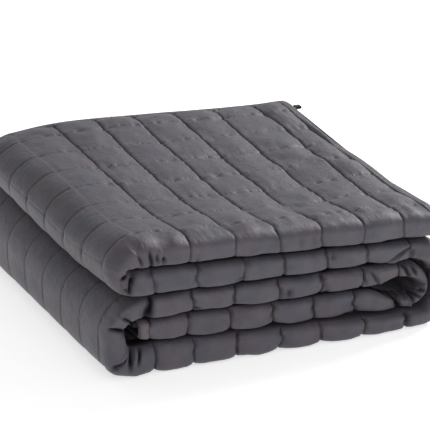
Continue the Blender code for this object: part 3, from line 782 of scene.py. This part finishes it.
def relief(place, stations):
    """How far in mm each outer face is pressed in, over the grid."""
    path, around = place[:, None], stations.around[None, :]
    p, w = quilt_place(path) - jag(path, around), quilt_around(around)
    column_seam, row_seam, column_line, row_line, gather = lie_of_cloth(path, stations)
    column_away, row_away = np.abs(p - np.round(p)), np.abs(w - np.round(w))
    in_fold = stations.zone[None, :] == ZONES["fold"]
    in_cells = (p >= -1.0) & (p <= math.ceil(HEM_LINE_LAST))
    in_cells = in_cells & ~(np.isin(np.round(p), LEFT_OUT_OF_FOLD) & in_fold)
    column = swell(p, COLUMN_POWER) * in_cells
    row = swell(w, ROW_POWER)
    pressed = column_seam * column + row_seam * row * (1.0 - column)

    column_noise = unevenness(11, w * PUCKER_RATE, np.round(p) * 3.7 + column_away * 2.0)
    row_noise = unevenness(12, p * PUCKER_RATE, np.round(w) * 5.3 + row_away * 3.0)
    seam_puckers = SEAM_PUCKERS * (np.exp(-column_away / PUCKER_REACH) * column_noise)
    row_puckers = ROW_PUCKERS * (np.exp(-row_away / PUCKER_REACH) * row_noise)
    lumps = LUMPS * unevenness(13, p * LUMP_RATE, w * LUMP_RATE)
    small_lumps = SMALL_LUMPS * unevenness(14, p * SMALL_LUMP_RATE, w * SMALL_LUMP_RATE)
    pressed = pressed + gather * (PILLOW + seam_puckers + row_puckers + (lumps + small_lumps))
    edge = np.abs(2 * w + 1.0).clip(0.0, 1.0)
    streaks = unevenness(33, p * FOLD_STREAK_RATES[0], w * FOLD_STREAK_RATES[1])
    pressed = pressed + in_fold * FOLD_STREAKS * front(path, "seams") * edge * streaks
    fold_lumps = unevenness(34, p * FOLD_LUMP_RATES[0], w * FOLD_LUMP_RATES[1])
    pressed = pressed + in_fold * FOLD_LUMPS * fold_lumps
    stitched = column_line * np.exp(-((column_away / STITCH_WIDTH) ** 2)) * in_cells
    row_stitched = row_line * np.exp(-((row_away / STITCH_WIDTH) ** 2))
    pressed = pressed + STITCH_DEPTH * np.maximum(stitched, row_stitched)
    crossing = np.exp(-((column_away**2 + row_away**2) / CROSSING_WIDTH**2))
    pressed = pressed + CROSSING_DEPTH * crossing * row_line
    return np.where(stations.zone[None, :] <= ZONES["back"], np.maximum(pressed, 0.0), 0.0)


def hem_pinch(place, stations):
    """The share of the ply that each face gives up in the hems, or 0 elsewhere."""
    path, local = place[:, None], stations.local[None, :]
    zone = stations.zone[None, :]
    far = np.full(np.broadcast(path, local).shape, BEYOND_HEMS)
    edge_a = np.where(zone == ZONES["a"], BACK_ROWS["hem_a"] - local, far)
    edge_b = np.where(zone == ZONES["b"], BACK_ROWS["hem_b"] - local, far)
    hidden = (LAST_PLACE - path) * HEM_WIDTH / HIDDEN_HEM_WIDTH + 0 * far
    inside = np.minimum.reduce([edge_a, edge_b, path - FIRST_PLACE + 0 * far, hidden])
    rounding = 1.0 - np.sqrt(np.clip(1.0 - (1.0 - inside / HEM_EDGE).clip(0.0, 1.0) ** 2, 0.0, 1.0))
    pinch = HEM_PINCH + (HEM_EDGE_PINCH - HEM_PINCH) * rounding
    line = np.exp(-(((inside - HEM_WIDTH) / HEM_LINE_WIDTH) ** 2))
    pinch = mix(pinch, HEM_LINE_PINCH, line)
    return np.where(inside <= HEM_END, pinch, 0.0)


# --- the mesh ----------------------------------------------------------------------------------------------


def coarse_lines(lines, keep, every):
    """The indices of grid lines that a coarser stretch uses: those kept, and even steps."""
    chosen = {0, len(lines) - 1}
    for n, line in enumerate(lines):
        on_step = abs(line / every - round(line / every)) < ON_STEP
        if on_step or any(abs(line - k) < ON_LINE for k in keep):
            chosen.add(n)
    return chosen


def ring(i0, i1, j0, j1, width):
    """The grid points round a tile, in order, as numbers."""
    points = [i * width + j0 for i in range(i0, i1)]
    points += [i1 * width + j for j in range(j0, j1)]
    points += [i * width + j1 for i in range(i1, i0, -1)]
    return points + [i0 * width + j for j in range(j1, j0, -1)]


def tiles(i0, i1, j0, j1, lines_i, lines_j):
    """The tiles of a stretch of the grid between the lines chosen each way, or between all of them."""
    across = [i for i in range(i0, i1 + 1) if lines_i is None or i in lines_i or i in (i0, i1)]
    along = [j for j in range(j0, j1 + 1) if lines_j is None or j in lines_j or j in (j0, j1)]
    for a, b in zip(across, across[1:]):
        for c, d in zip(along, along[1:]):
            yield a, b, c, d


def fold_stretches(place, i0, i1):
    """Stretches of the path from line i0 to i1, and whether creases cross the front fold there."""
    cuts = {i0, i1}
    for span in CREASED_SPANS:
        cuts |= {int(np.argmin(np.abs(place - end))) for end in span}
    cuts = sorted(cut for cut in cuts if i0 <= cut <= i1)
    for cut0, cut1 in zip(cuts, cuts[1:]):
        middle = place[cut0] / 2 + place[cut1] / 2
        yield cut0, cut1, any(first < middle < last for first, last in CREASED_SPANS)


PathLines = namedtuple("PathLines", "fine medium fold bottom plain")


def path_lines(place):
    """The grid lines along the path that each kind of stretch keeps."""
    hem = [FIRST_PLACE, HEM_LINE_FIRST, HEM_LINE_LAST, LAST_PLACE]
    hem += [FIRST_PLACE + HEM_EDGE, LAST_PLACE - HEM_EDGE]
    hem += [HEM_LINE_FIRST + BESIDE_HEM_LINE, HEM_LINE_LAST - BESIDE_HEM_LINE]
    near_seams = [seam + side * near for seam in STITCHED_SEAMS for near in NEAR_SEAM for side in (-1, 1)]
    creased = {i for i, u in enumerate(place) if any(first <= u <= last for first, last in CREASED_SPANS)}
    return PathLines(
        fine=coarse_lines(place, hem + near_seams, 1 / LINES_PER_CELL),
        medium=coarse_lines(place, hem, 2 / LINES_PER_CELL),
        fold=coarse_lines(place, hem + near_seams, 2 / LINES_PER_CELL) | creased,
        bottom=coarse_lines(place, hem, 4 / LINES_PER_CELL) | coarse_lines(place, [], 1.0),
        plain=coarse_lines(place, hem, 0.5),
    )


SectionLines = namedtuple("SectionLines", "fine medium bottom plain")


def section_lines(stations, starts):
    """The stations round the section that each kind of stretch keeps."""
    zone, width = stations.zone, len(stations.zone)
    on_face = np.isin(zone, (ZONES["a"], ZONES["d"]))
    hem_rows = [BACK_ROWS["hem_a"] - d for d in HEM_EDGE_LINES]
    hem_rows += [HEM_LINE_BACK, HEM_LINE_BACK - BESIDE_HEM_LINE]
    bends = [row for row, _ in SAG]
    kept = coarse_lines(stations.local, bends + hem_rows + [LAST_ROW_SEAM], NO_STEPS)
    plain = {j for j in kept if on_face[j]} | {0, width - 1}
    plain |= set(np.flatnonzero(zone >= ZONES["c"]).tolist())
    plain |= set(range(starts["fold"] + 1, starts["d"], COARSE_FOLD_STEP))
    off_seams = np.abs(stations.local - np.round(stations.local)) > ROW_FINE
    thinned = set(np.flatnonzero(off_seams & on_face)[1::2].tolist())
    fine = (set(range(width)) - thinned) | plain
    plain |= set(range(starts["back"], starts["c"], 2))
    return SectionLines(
        fine=fine,
        medium=set(range(0, width, 2)) | plain,
        bottom=set(range(0, width, 4)) | plain,
        plain=plain,
    )


def sheet_tiles(place, stations):
    """The tiles of the sheet's outer and inner face, finer where they show."""
    zone, width = stations.zone, len(stations.zone)
    starts = {name: int(np.argmax(zone == n)) for name, n in ZONES.items()}
    along, across = path_lines(place), section_lines(stations, starts)
    last_a, first_d = starts["fold"] - 1, starts["d"]
    first_back, last_back = starts["back"] - 1, starts["c"]
    line_a = int(max(np.flatnonzero((zone == ZONES["a"]) & (stations.local > HEM_A_ROWS_FROM))))
    first_b = int(max(np.flatnonzero((zone == ZONES["b"]) & (stations.local < HEM_B_ROWS_FROM))))
    hem, plain = (along.medium, across.plain), (along.plain, across.plain)
    shown, half_shown = (along.fine, across.fine), (along.medium, across.medium)
    a_finish = {"A": shown, "AB": shown, "CD": (along.fine, across.medium)}
    d_finish = {"BE": half_shown, "EC": shown, "CD": half_shown, "E": (along.bottom, across.bottom)}
    even = set(range(last_a, first_d + 1, 2))
    outer, inner = [], []
    for span in PATH:
        name = span.panel if isinstance(span, Run) else span.panels
        i0 = int(np.argmin(np.abs(place - span.seam_from)))
        i1 = int(np.argmin(np.abs(place - span.seam_to)))
        if name in a_finish:
            outer += tiles(i0, i1, 0, last_a, *a_finish[name])
        else:
            outer += tiles(i0, i1, 0, line_a, *hem)
            outer += tiles(i0, i1, line_a, last_a, *plain)
        for cut0, cut1, creased in fold_stretches(place, i0, i1):
            lines_i = along.fine | along.fold if name == "A" else along.fold
            lines_j = None if creased or name == "A" else even
            outer += tiles(cut0, cut1, last_a, first_d, lines_i, lines_j)
        outer += tiles(i0, i1, first_d, first_back, *d_finish.get(name, plain))
        outer += tiles(i0, i1, first_back, last_back, along.medium, None)
        outer += tiles(i0, i1, last_back, first_b, *plain)
        outer += tiles(i0, i1, first_b, width - 1, *hem)
        inner += tiles(i0, i1, 0, line_a, *hem)
        inner += tiles(i0, i1, line_a, first_b, *plain)
        inner += tiles(i0, i1, first_b, width - 1, *hem)
    return outer, inner


def sheet_faces(place, stations):
    """Faces of the closed sheet as lists of point numbers: its outer face, its inner face and its rim."""
    width, count = len(stations.zone), len(place) * len(stations.zone)
    faces, used = [], []
    for layer, found in enumerate(sheet_tiles(place, stations)):
        a, b, c, d = np.array(found).T
        mark = np.zeros(count, bool)
        for corner in (a * width + c, b * width + c, b * width + d, a * width + d):
            mark[corner] = True
        used.append(mark)
        for tile in found:
            points = [n + layer * count for n in ring(*tile, width) if mark[n]]
            faces.append(points[::-1] if layer else points)
    rim = ring(0, len(place) - 1, 0, width - 1, width)
    rim.append(rim[0])
    shared = [n for n, point in enumerate(rim) if used[0][point] and used[1][point]]
    for here, following in zip(shared, shared[1:]):
        stretch = rim[here : following + 1]
        face = [point for point in stretch[::-1] if used[0][point]]
        faces.append(face + [point + count for point in stretch if used[1][point]])
    return faces


def cloth_faces(place, stations):
    """The sheet's outer and inner face over the grid, before it is quilted, and how dark its painted shade
    is.
    """
    rows, sides = section(stations, *fold_line(place))
    path = np.broadcast_to(place[:, None], rows[0].shape)
    around = np.broadcast_to(stations.around[None, :], rows[0].shape)
    inside = np.clip(place - HEM_LINE_FIRST, 0, 1)[:, None] * np.clip(HEM_LINE_LAST - place, 0, 1)[:, None]
    noise = unevenness(21, path * WANDER_RATES[0], around * WANDER_RATES[1])
    wander = WANDER * noise * inside
    row_noise = unevenness(22, path * ROW_WANDER_RATES[0], around * ROW_WANDER_RATES[1])
    row_wander = ROW_WANDER * row_noise
    quilted = (stations.zone <= ZONES["back"])[None, :]
    sheets = []
    for layer in (0, 1):
        wandered = rows[layer] + row_wander * quilted
        sheets.append(put(path + wander + drift(path, around), wandered, sides[layer]))
    outer, inner = sheets
    through = inner - outer
    thickness = np.linalg.norm(through, axis=-1)
    # Creases move the whole ply where the front fold leaves room inside, and elsewhere its face alone.
    crease, shade = creases(path, around)
    # Painted shade: the creases, the seams' tucks, the crevices between panels and the inside of the lower
    # left turn.
    shade = np.maximum(shade, painted_crevice_shade(path, sides[0], stations))
    crease = crease * quilted * MM
    move = through / np.maximum(thickness, LEAST_THICKNESS)[..., None]
    in_fold = (stations.zone == ZONES["fold"])[None, :]
    pressed = np.where(in_fold, crease, np.minimum(crease, DEEPEST_CREASE * thickness))
    outer = outer + move * pressed[..., None]
    inner = inner + move * np.where(in_fold, np.maximum(crease, 0.0), 0.0)[..., None]
    return outer, inner, shade


def quilt_points(place, stations, outer, inner):
    """The sheet's points with the quilting pressed into the outer face and the hems pinched."""
    through = inner - outer
    thickness = np.linalg.norm(through, axis=-1)
    pinch = hem_pinch(place, stations)
    share = relief(place, stations) * MM / np.maximum(thickness, LEAST_THICKNESS)
    share = np.where(pinch > 0.0, pinch, np.minimum(share, DEEPEST_SEAM))
    outer_face = outer + through * share[..., None]
    inner_face = inner - through * pinch[..., None]
    return np.concatenate([outer_face.reshape(-1, 3), inner_face.reshape(-1, 3)])


def write_values(mesh, name, values, used):
    """Writes three values for each used point of the outer face, and zeros for the inner face's."""
    values = np.stack(values, axis=-1).reshape(-1, 3)
    values = np.concatenate([values, 0.0 * values])[used]
    written = mesh.attributes.new(name, "FLOAT_VECTOR", "POINT")
    written.data.foreach_set("vector", values.astype(np.float32).ravel())


def make_quilt():
    extra = hem_lines(FIRST_PLACE, HEM_LINE_FIRST) + hem_lines(LAST_PLACE, HEM_LINE_LAST)
    place = lines_between(FIRST_PLACE, LAST_PLACE, LINES_PER_CELL, extra + list(creased_lines()))
    stations = make_stations()
    outer, inner, shade = cloth_faces(place, stations)
    points = quilt_points(place, stations, outer, inner)
    faces = sheet_faces(place, stations)
    used = np.unique(np.concatenate([np.array(face) for face in faces]))
    number = np.full(len(points), -1)
    number[used] = np.arange(len(used))
    mesh = bpy.data.meshes.new("blanket")
    mesh.from_pydata(points[used].tolist(), [], [number[face].tolist() for face in faces])
    mesh.shade_smooth()
    path = np.broadcast_to(place[:, None], shade.shape)
    around = np.broadcast_to(stations.around[None, :], shade.shape)
    quilting = np.stack([quilt_place(path), quilt_around(around)], axis=-1).reshape(-1, 2)
    quilting = np.concatenate([quilting, quilting])[used]
    corner = np.zeros(len(mesh.loops), np.int32)
    mesh.loops.foreach_get("vertex_index", corner)
    layer = mesh.uv_layers.new(name="quilting")
    layer.data.foreach_set("uv", quilting[corner].astype(np.float32).ravel())
    write_values(mesh, "seams", lie_of_cloth(path, stations)[2:], used)
    tinted = rise(path, HEM_LINE_LAST, HEM_LINE_LAST + HEM_TINT_FADE)
    # Painted shade in the first channel, the hidden hem's own brown in the second.
    write_values(mesh, "painted_shade_and_hem_tint", [shade, tinted, 0.0 * shade], used)
    blanket = bpy.data.objects.new("blanket", mesh)
    bpy.context.scene.collection.objects.link(blanket)
    return blanket


# --- materials ---------------------------------------------------------------------------------------------


class Value:
    """A node's output, with sums and products that add Math nodes."""

    def __init__(self, finish, socket):
        self.finish, self.socket = finish, socket

    def maths(self, operation, *others):
        inputs = dict(enumerate((self, *others)))
        return self.finish.node("Math", {"operation": operation}, inputs)[0]

    def __add__(self, other):
        return self.maths("ADD", other)

    def __mul__(self, other):
        return self.maths("MULTIPLY", other)

    def __sub__(self, other):
        return self.maths("SUBTRACT", other)

    def __truediv__(self, other):
        return self.maths("DIVIDE", other)

    def __rsub__(self, other):
        return self.finish.node("Math", {"operation": "SUBTRACT"}, {0: other, 1: self})[0]


class Finish:
    """A material built from nodes."""

    def __init__(self, name):
        self.material = bpy.data.materials.new(name)
        self.material.use_nodes = True
        self.tree = self.material.node_tree
        self.shader = self.tree.nodes["Principled BSDF"]

    def node(self, kind, settings=None, inputs=None):
        """Adds a node, sets it and its sockets, and gives its outputs in order."""
        made = self.tree.nodes.new("ShaderNode" + kind)
        for name, value in (settings or {}).items():
            setattr(made, name, value)
        for name, value in (inputs or {}).items():
            self.join(made.inputs[name], value)
        return [Value(self, socket) for socket in made.outputs if socket.enabled]

    def join(self, socket, value):
        """Gives a socket a value, or links another node's output to it."""
        if isinstance(value, Value):
            self.tree.links.new(value.socket, socket)
        else:
            socket.default_value = value

    def set(self, **inputs):
        """Sets the shader's own sockets, with _ for a space in their names."""
        for name, value in inputs.items():
            self.join(self.shader.inputs[name.replace("_", " ")], value)


CHARCOAL = (0.088, 0.075, 0.090, 1.0)
CHARCOAL_COOL = (0.069, 0.070, 0.090, 1.0)
CHARCOAL_DEEP = (0.057, 0.049, 0.062, 1.0)
# The stitched lines' colour: partly the thread, partly painted shade in the seams' grooves.
CHARCOAL_STITCH_AND_SHADE = (0.014, 0.011, 0.013, 1.0)
HEM_BROWN = (0.120, 0.098, 0.105, 1.0)
# Painted shade: the black that creases and crevices are mixed towards.
PAINTED_SHADE_BLACK = (0.004, 0.003, 0.004, 1.0)
RIBBON_BLACK = (0.010, 0.010, 0.012, 1.0)
RIBBON_WORN = (0.022, 0.021, 0.024, 1.0)
FLOOR_WHITE = (0.86, 0.86, 0.86, 1.0)
STITCHES_PER_CELL = 16
THREADS_PER_CELL = 2 * math.pi * 70
STITCH_REACH, GATHER_REACH = 0.026, 0.16  # cells
MOTTLES_PER_CELL, DEEP_MOTTLES_PER_CELL = 1.3, 2.9
MOTTLE_FROM, MOTTLE_CONTRAST = 0.35, 2.6
DEEP_MOTTLE_FROM, DEEP_MOTTLE_CONTRAST = 0.38, 1.7
STITCH_AND_SHADE_DARKNESS = 0.8
LUMPS_PER_CELL, FINE_LUMPS_PER_CELL, GATHERS_PER_CELL = 7.0, 24.0, 8.5
GATHER_STRETCH = 0.22
LUMP_SHARE, FINE_LUMP_SHARE, GATHER_SHARE, WEAVE_SHARE = 0.7, 0.25, 1.1, 0.4
LUMP_HEIGHT, THREAD_HEIGHT, RIB_HEIGHT = 0.0015, 0.0004, 0.0003  # m


def sateen():
    """Dark sateen: fine weave, soft mottling from the filling, gathers beside the seams, stitches on them."""
    # Painted shade darkens its creases and crevices, and in part the stitched lines on its seams.
    finish = Finish("sateen")
    places = finish.node("UVMap", {"uv_map": "quilting"})[0]
    along, around, _ = finish.node("SeparateXYZ", None, {0: places})
    column_away = (along - along.maths("ROUND")).maths("ABSOLUTE")
    row_away = (around - around.maths("ROUND")).maths("ABSOLUTE")

    def noise(scale, stretch=(1.0, 1.0, 1.0), detail=2.0):
        stretched = finish.node("VectorMath", {"operation": "MULTIPLY"}, {0: places, 1: stretch})[0]
        settings = {"Vector": stretched, "Scale": scale, "Detail": detail, "Roughness": 0.55}
        return finish.node("TexNoise", {"noise_dimensions": "2D"}, settings)[0]

    def blend(share, a, b):
        return finish.node("Mix", {"data_type": "RGBA"}, {"Factor": share, "A": a, "B": b})[0]

    def near(away, reach):
        return (1.0 - away / reach).maths("MAXIMUM", 0.0)

    mottling = (noise(MOTTLES_PER_CELL, detail=5.0) - MOTTLE_FROM) * MOTTLE_CONTRAST
    colour = blend(mottling, CHARCOAL, CHARCOAL_COOL)
    mottling = (noise(DEEP_MOTTLES_PER_CELL, detail=5.0) - DEEP_MOTTLE_FROM) * DEEP_MOTTLE_CONTRAST
    colour = blend(mottling, colour, CHARCOAL_DEEP)
    strengths = finish.node("Attribute", {"attribute_name": "seams"})[1]
    column_line, row_line, gather = finish.node("SeparateXYZ", None, {0: strengths})
    column_stitch = near(column_away, STITCH_REACH) * column_line
    row_stitch = near(row_away, STITCH_REACH) * row_line
    stitch_and_shade_line = column_stitch.maths("MAXIMUM", row_stitch)
    dash = ((along + around) * (STITCHES_PER_CELL * 2 * math.pi)).maths("SINE")
    # The stitched lines are darkened partly as thread and partly as painted shade in their grooves.
    colour = blend(stitch_and_shade_line * STITCH_AND_SHADE_DARKNESS, colour, CHARCOAL_STITCH_AND_SHADE)
    row_gathers = near(row_away, GATHER_REACH) * noise(GATHERS_PER_CELL, (1.0, GATHER_STRETCH, 1.0))
    column_gathers = near(column_away, GATHER_REACH) * noise(GATHERS_PER_CELL, (GATHER_STRETCH, 1.0, 1.0))
    gathers = row_gathers + column_gathers
    painted_shade_and_hem_tint = finish.node("Attribute", {"attribute_name": "painted_shade_and_hem_tint"})[1]
    painted_shade_share, hem_tint, _ = finish.node("SeparateXYZ", None, {0: painted_shade_and_hem_tint})
    colour = blend(hem_tint, colour, HEM_BROWN)
    lumps = noise(LUMPS_PER_CELL, detail=4.0) * LUMP_SHARE + noise(FINE_LUMPS_PER_CELL) * FINE_LUMP_SHARE
    lumps = lumps + gathers * gather * GATHER_SHARE
    weave = (along * THREADS_PER_CELL).maths("SINE") * (around * THREADS_PER_CELL).maths("SINE")
    bump = finish.node("Bump", None, {"Strength": 0.55, "Distance": LUMP_HEIGHT, "Height": lumps})[0]
    thread = weave * WEAVE_SHARE + stitch_and_shade_line * dash
    threads = {"Strength": 0.12, "Distance": THREAD_HEIGHT, "Height": thread, "Normal": bump}
    fine = finish.node("Bump", None, threads)[0]
    finish.set(Base_Color=colour, Normal=fine, Roughness=0.56, Sheen_Weight=0.12, Sheen_Roughness=0.45)
    finish.set(Specular_IOR_Level=0.34)
    # Painted shade: a black diffuse is mixed in where creases and crevices lie in shade.
    dark = finish.node("BsdfDiffuse", None, {"Color": PAINTED_SHADE_BLACK})[0]
    lit = Value(finish, finish.shader.outputs[0])
    shown = finish.node("MixShader", None, {0: painted_shade_share, 1: lit, 2: dark})[0]
    finish.join(finish.tree.nodes["Material Output"].inputs["Surface"], shown)
    return finish.material


def black_ribbon():
    """Narrow black ribbon with a ribbed weave."""
    finish = Finish("black_ribbon")
    places = finish.node("TexCoord")[3]
    ribs = finish.node("TexWave", {"bands_direction": "Y"}, {"Vector": places, "Scale": 160.0})[0]
    shade = finish.node("TexNoise", None, {"Vector": places, "Scale": 300.0})[0]
    bump = finish.node("Bump", None, {"Strength": 0.3, "Distance": RIB_HEIGHT, "Height": ribs})[0]
    colours = {"Factor": shade, "A": RIBBON_BLACK, "B": RIBBON_WORN}
    colour = finish.node("Mix", {"data_type": "RGBA"}, colours)[0]
    finish.set(Base_Color=colour, Normal=bump, Roughness=0.6)
    return finish.material


def pale_floor():
    finish = Finish("pale_floor")
    finish.set(Base_Color=FLOOR_WHITE, Roughness=0.9, Specular_IOR_Level=0.1)
    finish.set(Emission_Color=(1.0, 1.0, 1.0, 1.0), Emission_Strength=FLOOR_GLOW)
    return finish.material


# --- the studio --------------------------------------------------------------------------------------------

CAMERA_PLACE = Vector((-0.8596, -1.7346, 0.8524))
CAMERA_RIGHT = Vector((0.89490, -0.44626, 0.0))
CAMERA_UP = Vector((0.16553, 0.33195, 0.92866))
CAMERA_LENS = 182.04
SENSOR = 36.0

Lamp = namedtuple("Lamp", "name place size power")
LAMPS = [
    Lamp("key", (2.3, 0.9, 1.7), 1.0, 84.0),
    Lamp("front_fill", (-0.3, -2.7, 1.4), 1.8, 17.0),
]
WORLD_LIGHT = 0.44
FLOOR_GLOW = 0.58
FLOOR_SIZE = 12.0


def make_camera():
    data = bpy.data.cameras.new("camera")
    data.sensor_width, data.lens = SENSOR, CAMERA_LENS
    camera = bpy.data.objects.new("camera", data)
    back = CAMERA_RIGHT.cross(CAMERA_UP)
    camera.matrix_world = Matrix.Translation(CAMERA_PLACE) @ Matrix(
        [(r, u, b) for r, u, b in zip(CAMERA_RIGHT, CAMERA_UP, back)]
    ).to_4x4()
    bpy.context.scene.collection.objects.link(camera)
    bpy.context.scene.camera = camera


def make_studio():
    bpy.ops.mesh.primitive_plane_add(size=FLOOR_SIZE)
    floor = bpy.context.object
    floor.name = "studio_floor"
    floor.data.materials.append(pale_floor())
    for lamp in LAMPS:
        data = bpy.data.lights.new(lamp.name, "AREA")
        data.size, data.energy = lamp.size, lamp.power
        light = bpy.data.objects.new(lamp.name, data)
        light.location = lamp.place
        light.rotation_euler = (-Vector(lamp.place)).to_track_quat("-Z", "Y").to_euler()
        bpy.context.scene.collection.objects.link(light)
    world = bpy.data.worlds.new("studio")
    world.use_nodes = True
    background = world.node_tree.nodes["Background"]
    background.inputs["Color"].default_value = (1.0, 1.0, 1.0, 1.0)
    background.inputs["Strength"].default_value = WORLD_LIGHT
    bpy.context.scene.world = world
    bpy.context.scene.view_settings.view_transform = "Standard"


def main():
    blanket = make_quilt()
    blanket.data.materials.append(sateen())
    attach(blanket, "root")
    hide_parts("quilt")
    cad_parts["corner_loop"].data.materials.clear()
    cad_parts["corner_loop"].data.materials.append(black_ribbon())
    make_camera()
    make_studio()


main()
